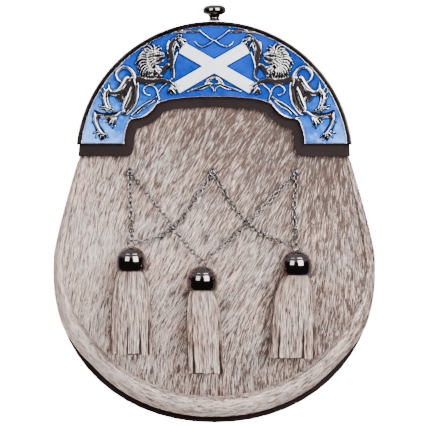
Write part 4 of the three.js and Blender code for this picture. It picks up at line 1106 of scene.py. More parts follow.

# %% The strokes of one lion: pixels to the right, pixels down and half width
LION = {
    # the dark body: trunk, haunch and the limbs that spring from it
    "body": [
        ("body", [(705, 700, 44), (650, 722, 46), (560, 738, 42), (460, 738, 40), (380, 725, 38),
            (300, 742, 34), (235, 768, 30), (190, 815, 26)]),
        ("body", [(740, 690, 36), (765, 760, 62), (795, 850, 95), (792, 950, 92), (832, 1050, 72),
            (868, 1130, 46), (880, 1185, 26)]),
        ("body", [(850, 730, 50), (900, 810, 62), (950, 890, 70), (945, 975, 42)]),
        ("body", [(200, 690, 12), (208, 620, 24), (222, 540, 36), (232, 460, 44), (240, 380, 48),
            (250, 310, 44), (240, 240, 38), (205, 180, 34), (160, 140, 34), (110, 112, 26)]),
        ("body", [(290, 515, 30), (335, 570, 40), (375, 635, 32)]),
        ("body", [(1000, 1215, 30), (1110, 1230, 26), (1235, 1215, 30)]),
        ("ground", [(480, 330, 72), (570, 400, 112), (585, 500, 112), (545, 600, 98), (500, 655, 80)]),
        ("ground", [(420, 590, 46), (430, 650, 42)]),
        ("ground", [(430, 395, 55), (370, 370, 34), (330, 362, 18)]),
        ("ground", [(1120, 900, 46), (1140, 1000, 44), (1120, 1090, 46)]),
        # a painted shadow line under the hind limb, drawn as low dark ground
        ("ground", [(985, 1165, 7), (1050, 1185, 11), (1130, 1192, 13), (1210, 1180, 12),
            (1285, 1140, 7)]),
        ("ground", [(1270, 1200, 36), (1262, 1330, 34), (1195, 1445, 40), (1180, 1490, 40)]),
    ],
    # tail and the muscles that catch the light
    "muscles": [
        ("lock", [(735, 700, 30), (752, 635, 32), (795, 578, 30), (860, 545, 28), (925, 558, 27),
            (975, 605, 26), (990, 665, 25), (965, 715, 20), (930, 742, 10)]),
        ("lock", [(788, 825, 16), (808, 895, 34), (835, 975, 44), (872, 1060, 40), (892, 1120, 27),
            (885, 1170, 10)]),
        ("lock", [(765, 690, 34), (742, 745, 24), (728, 800, 10)]),
        ("lock", [(840, 690, 40), (885, 765, 42), (930, 845, 50), (995, 890, 50), (1050, 890, 42),
            (1090, 850, 30)]),
        ("lock", [(1092, 880, 22), (1092, 810, 14), (1090, 748, 4)]),
        ("lock", [(1105, 850, 26), (1140, 915, 36), (1152, 985, 32), (1136, 1055, 27), (1115, 1105, 20)]),
        ("lock", [(1138, 875, 16), (1162, 832, 10), (1172, 795, 4)]),
        ("lock", [(1160, 925, 14), (1192, 892, 9), (1208, 865, 4)]),
        ("lock", [(1165, 975, 14), (1195, 958, 8), (1210, 945, 4)]),
        ("wire", [(1092, 880, 7), (1112, 940, 8), (1110, 1000, 8), (1092, 1055, 8), (1062, 1100, 6)]),
        ("wire", [(712, 700, 7), (690, 780, 8), (686, 860, 8), (695, 960, 9), (730, 1060, 9),
            (785, 1140, 9), (850, 1202, 7)]),
    ],
    # hind feet, shank and hock
    "feet": [
        ("lock", [(1112, 1092, 15), (1060, 1106, 11), (1022, 1132, 5)]),
        ("lock", [(1102, 1118, 13), (1062, 1138, 9), (1040, 1155, 4)]),
        ("lock", [(1140, 1090, 15), (1190, 1080, 11), (1228, 1063, 5)]),
        ("lock", [(1142, 1115, 13), (1195, 1112, 8), (1220, 1108, 4)]),
        ("lock", [(1120, 1120, 13), (1114, 1165, 5)]),
        ("lock", [(880, 1150, 18), (930, 1165, 26), (985, 1205, 24), (1045, 1222, 17), (1120, 1226, 16),
            (1200, 1232, 16)]),
        ("lock", [(1000, 1225, 20), (1030, 1285, 18), (1046, 1335, 12), (1040, 1382, 5)]),
        ("lock", [(1035, 1245, 17), (1075, 1300, 13), (1088, 1335, 5)]),
        ("lock", [(985, 1240, 15), (1008, 1300, 11), (1002, 1352, 5)]),
        ("lock", [(1060, 1240, 13), (1108, 1288, 8), (1132, 1300, 4)]),
        ("lock", [(1288, 1160, 10), (1278, 1215, 30), (1280, 1270, 27), (1262, 1330, 25),
            (1232, 1390, 23), (1195, 1440, 22)]),
        ("lock", [(1295, 1200, 10), (1316, 1222, 4)]),
        ("lock", [(1298, 1280, 10), (1320, 1302, 4)]),
        ("lock", [(1172, 1452, 15), (1128, 1472, 11), (1102, 1508, 5)]),
        ("lock", [(1175, 1478, 14), (1152, 1515, 9), (1140, 1548, 4)]),
        ("lock", [(1200, 1475, 14), (1202, 1520, 8), (1196, 1548, 4)]),
        ("lock", [(1225, 1450, 16), (1260, 1480, 10), (1272, 1512, 4)]),
        ("lock", [(1238, 1422, 14), (1280, 1435, 8), (1306, 1450, 4)]),
    ],
    # the mane, from the face back
    "mane": [
        ("lock", [(470, 295, 18), (498, 252, 15), (488, 212, 5)]),
        ("lock", [(500, 300, 18), (545, 262, 14), (572, 232, 5)]),
        ("lock", [(520, 318, 18), (590, 288, 15), (638, 292, 5)]),
        ("lock", [(540, 338, 18), (620, 328, 15), (688, 350, 5)]),
        ("lock", [(552, 365, 18), (640, 364, 15), (716, 394, 5)]),
        ("lock", [(560, 395, 18), (655, 402, 15), (742, 452, 5)]),
        ("lock", [(562, 425, 18), (645, 446, 15), (752, 482, 5)]),
        ("lock", [(560, 455, 18), (632, 495, 15), (726, 536, 5)]),
        ("lock", [(558, 485, 17), (622, 545, 15), (712, 596, 5)]),
        ("lock", [(548, 512, 17), (608, 590, 14), (690, 655, 5)]),
        ("lock", [(538, 535, 17), (588, 625, 14), (650, 698, 5)]),
        ("lock", [(526, 552, 16), (568, 652, 14), (608, 740, 5)]),
        ("lock", [(510, 562, 16), (538, 655, 14), (560, 734, 5)]),
        ("lock", [(494, 570, 15), (506, 652, 14), (518, 724, 5)]),
        ("lock", [(476, 572, 15), (476, 650, 14), (478, 708, 5)]),
        ("lock", [(458, 568, 15), (440, 640, 14), (430, 695, 5)]),
        ("lock", [(440, 560, 15), (408, 622, 13), (394, 668, 5)]),
        ("lock", [(425, 548, 14), (382, 595, 12), (356, 642, 5)]),
        ("lock", [(482, 330, 15), (525, 306, 14), (560, 318, 5)]),
        ("lock", [(492, 356, 15), (545, 344, 14), (592, 372, 5)]),
        ("lock", [(498, 384, 15), (552, 390, 14), (600, 432, 5)]),
        ("lock", [(500, 412, 15), (548, 438, 14), (585, 492, 5)]),
        ("lock", [(500, 440, 15), (538, 482, 14), (562, 548, 5)]),
        ("lock", [(490, 468, 15), (518, 530, 14), (530, 605, 5)]),
        ("lock", [(474, 495, 15), (488, 560, 14), (490, 628, 5)]),
        ("lock", [(455, 510, 14), (450, 575, 13), (440, 632, 5)]),
    ],
    # the face
    "face": [
        ("lock", [(480, 345, 40), (430, 345, 38), (375, 352, 27), (332, 362, 17)]),
        ("lock", [(470, 425, 40), (415, 420, 28), (362, 402, 18), (325, 388, 10)]),
        ("lock", [(478, 475, 24), (420, 482, 18), (370, 468, 13), (330, 440, 8)]),
        ("lock", [(470, 305, 13), (436, 268, 12), (402, 248, 4)]),
        ("lock", [(452, 318, 12), (404, 292, 11), (366, 286, 4)]),
        ("lock", [(455, 520, 13), (405, 540, 12), (362, 536, 4)]),
        ("lock", [(440, 540, 13), (398, 575, 11), (350, 588, 4)]),
        ("pit", [(425, 372, 9), (403, 374, 7), (392, 380, 4)]),
        ("pit", [(450, 338, 4), (415, 350, 5), (385, 352, 3)]),
        ("pit", [(318, 385, 5), (352, 405, 6), (392, 428, 6), (420, 446, 4)]),
        ("pit", [(330, 352, 5), (338, 360, 4)]),
        ("pit", [(452, 385, 4), (446, 430, 5), (420, 462, 4)]),
        ("pit", [(482, 380, 5), (486, 420, 6), (478, 462, 4)]),
    ],
    # fore paws
    "paws": [
        ("wire", [(200, 640, 7), (206, 560, 9), (198, 490, 10), (178, 420, 9), (150, 340, 6)]),
        ("wire", [(262, 180, 7), (288, 240, 10), (292, 300, 9), (276, 372, 7)]),
        ("lock", [(196, 335, 9), (182, 270, 14), (166, 205, 10)]),
        ("lock", [(135, 138, 15), (90, 152, 17), (45, 172, 14), (18, 210, 6)]),
        ("lock", [(125, 172, 18), (82, 200, 19), (50, 245, 7)]),
        ("lock", [(155, 225, 15), (132, 280, 12), (120, 325, 5)]),
        ("lock", [(105, 228, 12), (62, 272, 5)]),
        ("lock", [(172, 150, 12), (205, 205, 7)]),
        ("lock", [(220, 757, 17), (162, 788, 15), (108, 800, 6)]),
        ("lock", [(232, 800, 20), (182, 835, 17), (128, 850, 7)]),
        ("lock", [(238, 830, 19), (202, 875, 15), (168, 908, 6)]),
        ("lock", [(252, 838, 15), (242, 890, 10), (226, 920, 5)]),
        ("lock", [(268, 842, 12), (280, 900, 6)]),
        ("wire", [(225, 700, 7), (285, 755, 8), (340, 800, 9), (390, 850, 9), (425, 905, 8)]),
        ("pit", [(745, 835, 5), (758, 900, 7), (770, 970, 7), (800, 1060, 6)]),
        ("pit", [(1128, 900, 5), (1136, 960, 6), (1126, 1030, 5)]),
        ("pit", [(855, 760, 4), (905, 815, 6), (960, 850, 5)]),
        ("pit", [(845, 900, 4), (870, 960, 6), (890, 1030, 5)]),
        ("pit", [(1265, 1230, 4), (1262, 1290, 5), (1240, 1340, 4)]),
    ],
    # curl and leaf
    "leaf": [
        ("wire", [(425, 905, 12), (438, 850, 13), (480, 806, 13), (548, 796, 13), (603, 830, 13),
            (612, 880, 12), (572, 920, 11), (520, 927, 8)]),
        ("wire", [(425, 905, 12), (405, 960, 12), (400, 1008, 10)]),
        ("wire", [(410, 1000, 9), (450, 1062, 10), (500, 1132, 10), (565, 1192, 10), (650, 1230, 10),
            (740, 1242, 9), (805, 1236, 8)]),
        ("wire", [(440, 950, 9), (540, 1010, 10), (640, 1072, 10), (720, 1142, 10), (785, 1205, 9)]),
        ("wire", [(470, 1000, 6), (560, 1080, 7), (640, 1122, 7), (705, 1185, 6)]),
    ],
}
print("the lion has", sum(len(strokes) for strokes in LION.values()), "strokes")

# %% [markdown]
# ## Scrolls and knot
#
# Between the lions' heads a scroll crosses over the middle, and below the cross lies a knot of two
# strands with a leaf. They are drawn in the same strokes and mirrored with the lion.

# %% The scrolls between the lions, on the left of the middle, and the knot below
KNOT = [
    ("body", [(0, 228, 14), (150, 220, 16), (300, 226, 19), (430, 212, 22)]),
    ("wire", [(440, 192, 11), (480, 240, 19), (560, 300, 18), (660, 370, 16), (730, 395, 16),
        (790, 440, 18), (880, 490, 19), (960, 500, 17), (1030, 462, 11), (1072, 412, 5)]),
    ("wire", [(600, 1195, 10), (655, 1115, 14), (740, 1072, 15), (825, 1115, 15), (880, 1195, 13)]),
    ("wire", [(215, 1345, 6), (340, 1292, 17), (480, 1242, 14), (600, 1192, 12), (740, 1200, 11),
        (830, 1150, 9)]),
    ("wire", [(370, 1312, 6), (500, 1285, 10), (620, 1235, 12), (700, 1300, 13), (740, 1325, 13)]),
]
print("the scrolls and the knot have", len(KNOT), "strokes")

# %% [markdown]
# ## From strokes to a height map
#
# All strokes are drawn into one height map, where the highest wins. A low footing is drawn under every
# stroke first, a little wider than it, which gives each form the dark line round it that a casting has.
# Fine locks are drawn slightly thin, so that such a line shows between them too. How far a point stands
# over its surroundings becomes the number that the metal's finish reads.

# %% How high each form stands, how much of its half width is rounded, and its polish
SILVER_LINE = 0.34
FORMS = {
    "ground": {"high": 0.7, "round": 0.5, "polish": -0.6},
    "body": {"high": 1.45, "round": 0.32, "polish": -0.42},
    "lock": {"high": 2.45, "round": 0.85, "polish": 0.08},
    "wire": {"high": 1.95, "round": 1.0, "polish": 0.14},
    "pit": {"high": 0.8, "round": 1.0, "polish": -0.7},
}
FOOTING = 0.38
LOCK_GAP = 0.10
FINE_LOCK = 0.65
CELL = 0.25
MAP_ACROSS = np.arange(-81, 81 + CELL, CELL)
MAP_UP = np.arange(8, 82, CELL)


def draw_stroke(heights, polish, form, points):
    """Raise the height map along one tapering stroke."""
    kind = FORMS[form]
    for (ax, az, aw), (bx, bz, bw) in zip(points, points[1:]):
        reach = max(aw, bw) * 1.25
        i0, i1 = np.searchsorted(MAP_ACROSS, [min(ax, bx) - reach, max(ax, bx) + reach])
        j0, j1 = np.searchsorted(MAP_UP, [min(az, bz) - reach, max(az, bz) + reach])
        x, z = MAP_ACROSS[i0:i1][None, :], MAP_UP[j0:j1][:, None]
        run = max((bx - ax) ** 2 + (bz - az) ** 2, 1e-9)
        t = np.clip(((x - ax) * (bx - ax) + (z - az) * (bz - az)) / run, 0, 1)
        away = np.hypot(x - ax - t * (bx - ax), z - az - t * (bz - az))
        inward = 1 - away / (aw + (bw - aw) * t)
        rounded = np.clip(inward / kind["round"], 0, 1)
        width = aw + (bw - aw) * t
        height = kind["high"] * np.sqrt(1 - (1 - rounded) ** 2) * np.clip(width / 0.45, 0.55, 1.0)
        height = np.where(inward > 0, height + 0.02, np.maximum(inward * 4, -0.6))
        here, shine = heights[j0:j1, i0:i1], polish[j0:j1, i0:i1]
        if form == "pit":
            cut = (inward > 0) & (here > kind["high"])
            here[cut], shine[cut] = kind["high"], kind["polish"]
            continue
        won = (height > here) & (height > 0)
        shine[won] = kind["polish"]
        if form == "body":
            shine[won & (width - away < SILVER_LINE)] = 0.3
        np.maximum(here, height, out=here)


def wavy(points):
    """A straight lock of the mane gets its S: it rises in the middle and its tip droops."""
    (x, y, root), (_, _, middle), (end_x, end_y, tip) = points
    along, down = end_x - x, end_y - y
    length = math.hypot(along, down)
    bulge = 0.16 * length
    side, lift = -down / length * bulge, along / length * bulge
    if lift > 0:
        side, lift = -side, -lift
    shape = ((0, 0, 0.8 * root), (0.38, 1, 0.82 * middle), (0.72, 0.2, 0.72 * middle), (0.93, -0.9, tip))
    return [(x + share * along + rise * side, y + share * down + rise * lift, half)
            for share, rise, half in shape]


def relief_strokes():
    """Every stroke in mm: one lion's, then those of the scrolls and the knot."""
    for part, strokes in LION.items():
        for form, points in strokes:
            points = wavy(points) if part == "mane" else points
            yield form, [way_point(*point, LION_PICTURE) for point in points]
    for form, points in KNOT:
        yield form, [way_point(*point, KNOT_PICTURE) for point in points]


def smooth_stroke(points):
    return smooth_line(points, 5) if len(points) > 2 else np.asarray(points, float)


def relief_map():
    heights = np.full((len(MAP_UP), len(MAP_ACROSS)), -0.6)
    polish = np.zeros_like(heights)
    strokes = [(form, smooth_stroke(points)) for form, points in relief_strokes()]
    for _, points in strokes:
        for side in (-1, 1):
            draw_stroke(heights, polish, "ground", points * [side, 1, 1] + [0, 0, FOOTING])
    for form, points in strokes:
        gap = LOCK_GAP if form == "lock" and points[:, 2].max() < FINE_LOCK else 0
        for side in (-1, 1):
            draw_stroke(heights, polish, form, points * [side, 1, 1] - [0, 0, gap])
    border = moved(inner_edge, 0.6)[::4]
    draw_stroke(heights, polish, "wire", np.column_stack([border, np.full(len(border), 0.42)]))
    line = arc_line(CANTLE_RADIUS - 2.85, CANTLE_END_UP + 0.6, 120)
    draw_stroke(heights, polish, "wire", np.column_stack([line, np.full(len(line), 0.30)]))
    for side in (-1, 1):
        foot = [(side * (inner_edge[-1, 0] + 0.3), CANTLE_END_UP + 0.6, 0.42),
                (side * (CANTLE_RADIUS - 4), CANTLE_END_UP + 0.6, 0.42)]
        draw_stroke(heights, polish, "wire", foot)
    return heights, polish


def soften(values, cells):
    """The mean over a square of cells."""
    kernel = np.ones(2 * cells + 1) / (2 * cells + 1)
    for axis in (0, 1):
        values = np.apply_along_axis(lambda row: np.convolve(row, kernel, "same"), axis, values)
    return values


heights, polish = relief_map()
stands = np.clip(0.55 + (heights - soften(np.maximum(heights, 0), 3)) / 2.2 + polish, 0, 1)
print("the relief stands up to", round(float(heights.max()), 2), "mm high")

# %% [markdown]
# ## From the height map to a mesh
#
# A grid over the whole cantle would cover the enamel. Only the cells that stand over the plate are kept,
# and their points are numbered anew.

# %% The relief as a mesh
def relief_piece():
    kept = np.zeros_like(heights, bool)
    solid = heights > 0
    kept[:-1, :-1] = solid[:-1, :-1] | solid[1:, :-1] | solid[:-1, 1:] | solid[1:, 1:]
    kept[:, -1] = kept[-1, :] = False
    j, i = np.nonzero(kept)
    number = np.full(heights.shape, -1)
    corners = [(j, i), (j, i + 1), (j + 1, i + 1), (j + 1, i)]
    used = np.unique(np.concatenate([a * heights.shape[1] + b for a, b in corners]))
    number.ravel()[used] = np.arange(len(used))
    faces = np.stack([number[a, b] for a, b in corners], axis=-1).tolist()
    up, across = MAP_UP[used // heights.shape[1]], MAP_ACROSS[used % heights.shape[1]]
    deep = ENAMEL_FRONT + heights.ravel()[used]
    return make_piece("cantle_relief", np.stack([across, deep, up], axis=-1), faces, cast_silver,
                      "cast_metal", ["cantle_frame"], values={"stands": stands.ravel()[used]})


relief_piece()

# %% [markdown]
# ## The white cross
#
# The saltire is a plate of white enamel in a thin dark frame, let in between the lions. Its outline is
# two crossed bars, so twelve corners describe it, and all of them follow from the bar's half width and
# the lengths of its arms. The same outline drawn a little smaller gives the softened edge, and drawn a
# little larger gives the frame. The upper arms end sooner, under the lions' raised paws.

# %% Saltire
CROSS_UP = 54.8
CROSS_TILT = math.radians(30)
CROSS_HALF = 3.5
UPPER_ARM, LOWER_ARM = 22.0, 25.6
FRAME_EDGE = 0.5


def cross_outline(half, grow=0.0):
    """Corners of the two crossed bars, turning round the middle, in mm."""
    corners = []
    for turn, arm, notch in ((CROSS_TILT, UPPER_ARM, (0, half / math.cos(CROSS_TILT))),
                             (math.pi - CROSS_TILT, UPPER_ARM, (-half / math.sin(CROSS_TILT), 0)),
                             (math.pi + CROSS_TILT, LOWER_ARM, (0, -half / math.cos(CROSS_TILT))),
                             (-CROSS_TILT, LOWER_ARM, (half / math.sin(CROSS_TILT), 0))):
        along = np.array([math.cos(turn), math.sin(turn)])
        beside = np.array([-along[1], along[0]])
        corners += [(arm + grow) * along - half * beside, (arm + grow) * along + half * beside, notch]
    return np.array(corners) + [0, CROSS_UP]


def layered_plate(name, layers, material, slot, stands_for=(), sharp=None):
    """A plate from its back to its front: outlines with the same number of corners, and their depths."""
    rows = np.array([[(x, deep, z) for x, z in outline] for outline, deep in layers])
    count = rows.shape[1]
    faces = grid_faces(len(rows), count, closed=True)
    faces += [cap_face(0, count, True), cap_face((len(rows) - 1) * count, count)]
    return make_piece(name, rows.reshape(-1, 3), faces, material, slot, stands_for, sharp=sharp)


layered_plate("saltire_frame", [(cross_outline(CROSS_HALF + FRAME_EDGE, FRAME_EDGE), ENAMEL_FRONT - 0.2),
                                (cross_outline(CROSS_HALF + FRAME_EDGE, FRAME_EDGE), ENAMEL_FRONT + 0.6),
                                (cross_outline(CROSS_HALF + 0.3, 0.3), ENAMEL_FRONT + 0.75)],
              rim_metal, "cast_metal", ["saltire"], sharp=25)
layered_plate("saltire_enamel", [(cross_outline(CROSS_HALF), ENAMEL_FRONT),
                                 (cross_outline(CROSS_HALF), ENAMEL_FRONT + 0.7),
                                 (cross_outline(CROSS_HALF - 0.12, -0.12), ENAMEL_FRONT + 0.88),
                                 (cross_outline(CROSS_HALF - 0.4, -0.4), ENAMEL_FRONT + 0.96)],
              white_enamel, "white_enamel", ["saltire"], sharp=35)

# %% [markdown]
# ## Turned parts
#
# The knob, the three bells, the flap's stud and the chains' washers are all turned on a lathe. In
# Blender a lathe is the Screw modifier, or a profile spun in code as here, which keeps every turned part
# one call: a profile of pairs (how far out, how far along), a foot and an axis. Rings and links are
# round wire bent into a closed oval, which a second function makes.

# %% A lathe
AXES = {
    "up": ((1, 0, 0), (0, 1, 0), (0, 0, 1)),
    "front": ((1, 0, 0), (0, 0, 1), (0, 1, 0)),
    "back": ((0, 0, 1), (1, 0, 0), (0, -1, 0)),
}


def turned(profile, foot, axis="up", sides=56):
    """A profile in mm spun round an axis from its foot."""
    across, beside, along = np.array(AXES[axis], float)
    profile = np.asarray(profile, float)
    angle = 2 * math.pi * np.arange(sides) / sides
    round_it = np.cos(angle)[:, None] * across + np.sin(angle)[:, None] * beside
    rows = profile[:, 0, None, None] * round_it[None] + profile[:, 1, None, None] * along
    places = np.asarray(foot, float) + rows.reshape(-1, 3)
    faces = grid_faces(len(profile), sides, closed=True)
    faces += [cap_face(0, sides, True), cap_face((len(profile) - 1) * sides, sides)]
    return places, faces


def wire_loop(middle, long_way, wide_way, half_long, half_wide, wire, around=20, sides=8):
    """A closed oval of round wire, its middle line given by two directions and two half sizes."""
    long_way, wide_way = np.asarray(long_way, float), np.asarray(wide_way, float)
    turn = 2 * math.pi * np.arange(around) / around
    straight = (half_long - half_wide) * np.sign(np.round(np.cos(turn), 9))
    line = ((straight + half_wide * np.cos(turn))[:, None] * long_way
            + (half_wide * np.sin(turn))[:, None] * wide_way)
    out = np.cos(turn)[:, None] * long_way + np.sin(turn)[:, None] * wide_way
    off = np.cross(long_way, wide_way)
    ring = 2 * math.pi * np.arange(sides) / sides
    tube = line[:, None] + wire * (np.cos(ring)[None, :, None] * out[:, None]
                                   + np.sin(ring)[None, :, None] * off)
    tube = np.concatenate([tube, tube[:1]])
    return np.asarray(middle, float) + tube.reshape(-1, 3), grid_faces(around + 1, sides, closed=True)


# %% [markdown]
# ## The knob
#
# The finial on top is a turned mushroom: a flared foot, a narrow neck and a flattened head. Its profile
# is a table of shares of its radius and height, and a smooth curve through them takes the corners off.

# %% The knob on top
KNOB = {"radius": 6.8, "high": 9.3, "foot": (0.0, 27.9, 81.5)}
KNOB_PROFILE = smooth_line([
    (0.02, 0.0), (0.50, 0.0), (0.52, 0.05), (0.48, 0.10), (0.43, 0.16), (0.42, 0.21), (0.46, 0.28),
    (0.50, 0.34), (0.60, 0.39), (0.80, 0.44), (0.93, 0.51), (0.995, 0.60), (1.0, 0.70), (0.98, 0.78),
    (0.92, 0.86), (0.76, 0.94), (0.52, 0.985), (0.26, 1.0), (0.02, 1.0),
], 4)
make_piece("knob", *turned(KNOB_PROFILE * [KNOB["radius"], KNOB["high"]], KNOB["foot"]), black_chrome,
           "black_chrome", ["finial_knob"])

# %% [markdown]
# ## The bells
#
# Each tassel hangs in a spun cap of black chrome with a domed top, a step at the shoulder and a belly
# that turns in to an open mouth. What it mirrors depends on its slopes, so the profile has most points
# where the slope changes fast. It is turned as a thin wall, so that the mouth is really open, and a ring
# on top takes the chains.

# %% The bells
BELL_RADIUS, BELL_WALL = 9.1, 1.0
RING_RADIUS, RING_WIRE = 1.9, 0.55
PILE = 0.6
BELL_OUTSIDE = [
    (0.02, 1.0), (0.25, 0.985), (0.45, 0.945), (0.62, 0.88), (0.75, 0.80), (0.835, 0.725), (0.86, 0.685),
    (0.90, 0.66), (0.94, 0.61), (0.972, 0.54), (0.995, 0.44), (1.0, 0.33), (0.992, 0.23), (0.97, 0.14),
    (0.93, 0.07), (0.87, 0.02), (0.81, 0.0),
]


def bell_depth(tassel):
    """How deep the middle of a bell hangs, clear of the front at all its levels."""
    levels = tassel["top"] - BELL_HEIGHT * np.linspace(0, 1, 5)
    return float(front_depth(tassel["across"], levels).max()) + BELL_RADIUS + PILE


def bell(side):
    tassel = TASSELS[side]
    outside = smooth_line(BELL_OUTSIDE, 4) * [BELL_RADIUS, BELL_HEIGHT]
    inside = outside[::-1] - [BELL_WALL, BELL_WALL]
    inside[:, 1] = np.maximum(inside[:, 1], 0)
    inside = inside[inside[:, 0] > 0.05]
    foot = (tassel["across"], bell_depth(tassel), tassel["top"] - BELL_HEIGHT)
    ring_middle = (foot[0], foot[1], tassel["top"] + RING_RADIUS - RING_WIRE / 2)
    loop = wire_loop(ring_middle, (0, 0, 1), (1, 0, 0), RING_RADIUS, RING_RADIUS, RING_WIRE)
    cap = turned(np.concatenate([outside, inside]), foot, sides=72)
    make_piece(f"bell_cap_{side}", *joined([cap, loop]), black_chrome, "black_chrome", [f"bell_{side}"])


for side in TASSELS:
    bell(side)

# %% [markdown]
# ## The stud and the staples
#
# The flap closes with a domed press stud. The chains hang from three small rings, each through a washer
# that sits on the hide. All of these are a turned profile, and the rings are loops of wire.

# %% The stud and the staples
STUD = {"radius": 6.3, "rise": 2.4, "seat": 2.5, "up": -32.0, "post": 2.4}
STUD_PROFILE = [(0.05, 0.3), (STUD["post"], 0.3), (STUD["post"], STUD["seat"])] + [
    (STUD["radius"] * out, STUD["seat"] + STUD["rise"] * rise)
    for out, rise in ((0.96, 0.0), (1.0, 0.08), (1.0, 0.24), (0.93, 0.42), (0.78, 0.68), (0.6, 0.84),
                      (0.4, 0.95), (0.2, 0.99), (0.01, 1.0))]
make_piece("stud_cap", *turned(STUD_PROFILE, (0.0, 0.0, STUD["up"]), "back"), black_chrome, "black_chrome",
           ["flap_stud"], sharp=50)

STAPLE_UP = -7.2
STAPLES = {"left": -49.4, "centre": -0.86, "right": 47.8}
WASHER_RADIUS = 2.6
RING_STANDS = 1.6
WASHER_PROFILE = [(0.05, 0.0), (2.5, 0.0), (WASHER_RADIUS, 0.12), (WASHER_RADIUS, 0.55), (2.4, 0.85),
                  (1.9, 1.1), (1.2, 1.35), (0.6, 1.45), (0.05, 1.5)]


def washer_face(across):
    """The depth that a washer's back rests at: the highest point of the front under its rim, and a gap."""
    turn = np.linspace(0, 2 * math.pi, 12)
    under = front_depth(across + WASHER_RADIUS * np.cos(turn), STAPLE_UP + WASHER_RADIUS * np.sin(turn))
    return float(under.max()) + 0.3


def staple(side):
    across, face = STAPLES[side], washer_face(STAPLES[side])
    washer = turned(WASHER_PROFILE, (across, face, STAPLE_UP), "front", 28)
    ring_middle = (across, face + RING_STANDS, STAPLE_UP)
    loop = wire_loop(ring_middle, (0, 0, 1), (1, 0, 0), RING_RADIUS, RING_RADIUS, RING_WIRE)
    make_piece(f"ring_{side}", *joined([washer, loop]), gunmetal, "chain_metal", [f"staple_{side}"])


for side in STAPLES:
    staple(side)

# %% [markdown]
# ## The chains
#
# Six short cable chains carry the bells, each of fifteen to thirty oval links of round wire, every link
# turned a quarter against the next. A chain could be an array modifier on a curve, but then the first
# and last links land anywhere. Here the route is measured first, the number of links follows from it,
# and each link is placed on the route with its own small twist, as links never lie quite square.

# %% Chain links
LINK_PITCH = 2.75
LINK_HALF_WIDE, LINK_WIRE = 1.15, 0.44
CHAIN_LIFT = 2.1
CHAINS = [
    {"from": "left", "to": "left", "over": 0.0, "by": [(-49.0, -23.6), (-48.3, -37.1)]},
    {"from": "left", "to": "centre", "over": 4.0, "by": [(-32.7, -28.2), (-19.5, -45.6)]},
    {"from": "centre", "to": "left", "over": 0.0, "by": [(-16.7, -31.5), (-29.9, -43.7)]},
    {"from": "centre", "to": "right", "over": 0.0, "by": [(15.0, -32.0), (28.1, -43.2)]},
    {"from": "right", "to": "centre", "over": 4.0, "by": [(34.7, -21.2), (15.1, -41.3)]},
    {"from": "right", "to": "right", "over": 0.0, "by": [(47.3, -22.2), (46.8, -31.5)]},
]


def chain_route(chain):
    """The middle line of a chain, from one ring to the other, as many places."""
    tassel = TASSELS[chain["to"]]
    start = np.array([STAPLES[chain["from"]], STAPLE_UP])
    end = np.array([tassel["across"], tassel["top"] + RING_RADIUS])
    by = np.array(chain["by"])
    start += RING_RADIUS * (by[0] - start) / np.linalg.norm(by[0] - start)
    end += RING_RADIUS * (by[-1] - end) / np.linalg.norm(by[-1] - end)
    flat = evenly(smooth_line(np.concatenate([[start], by, [end]]), 24), 120)
    share = np.linspace(0, 1, len(flat))
    low = front_depth(flat[:, 0], flat[:, 1]) + CHAIN_LIFT
    hump = chain["over"] * np.sin(math.pi * share)
    late = np.clip((share - 0.72) / 0.28, 0, 1)
    climb = late * late * (3 - 2 * late)
    low[share < 0.05] = washer_face(STAPLES[chain["from"]]) + RING_STANDS
    deep = low + hump + (bell_depth(tassel) - low - hump) * climb * 0.9
    return np.column_stack([flat[:, 0], deep, flat[:, 1]])


def chain_links(chain, seed):
    dice = np.random.default_rng(seed)
    route = chain_route(chain)
    run = np.concatenate([[0], np.cumsum(np.linalg.norm(np.diff(route, axis=0), axis=1))])
    count = max(3, round(run[-1] / LINK_PITCH))
    pitch = run[-1] / count
    at = (np.arange(count) + 0.5) * pitch
    middles = np.column_stack([np.interp(at, run, route[:, k]) for k in range(3)])
    ahead = np.column_stack([np.interp(at + 1, run, route[:, k]) - np.interp(at - 1, run, route[:, k])
                             for k in range(3)])
    links = []
    for number, (middle, along) in enumerate(zip(middles, ahead)):
        along = along / np.linalg.norm(along)
        beside = np.cross(along, (0, 1, 0))
        beside /= np.linalg.norm(beside)
        outward = np.cross(beside, along)
        twist = math.radians(90 * (number % 2) + dice.uniform(-16, 16))
        wide_way = math.cos(twist) * beside + math.sin(twist) * outward
        half_long = pitch / 2 + LINK_WIRE
        links.append(wire_loop(middle, along, wide_way, half_long, LINK_HALF_WIDE, LINK_WIRE))
    name = f"{chain['from']}_to_{chain['to']}"
    make_piece(f"links_{name}", *joined(links), gunmetal, "chain_metal", [f"chain_{name}"])
    return count


print("links in all:", sum(chain_links(chain, 80 + number) for number, chain in enumerate(CHAINS)))

# %% [markdown]
# ## The tassels
#
# Each tassel is a bundle of hide strips, cut square, that fan out of a bell. The dark gaps between the
# strips are what the eye reads first, so the strips are laid out one by one round the tassel's oval
# section, and a dark core of painted shade hides the daylight between them and shows as a thin painted
# shadow line just under the cut ends. A small table says how the section swells from the bell's mouth
# down to the cut end.

# %% A tassel's oval section
TASSEL_STRIPS = 11
HEAD_HALF, END_HALF_DEEP = 6.0, 4.4
SWELL = {
    "down": [-0.1, 0, 0.05, 0.1, 0.25, 0.5, 1.0],
    "by": [0, 0, 0.26, 0.46, 0.75, 0.88, 1.0],
}
STRIP_INSET = 1.4


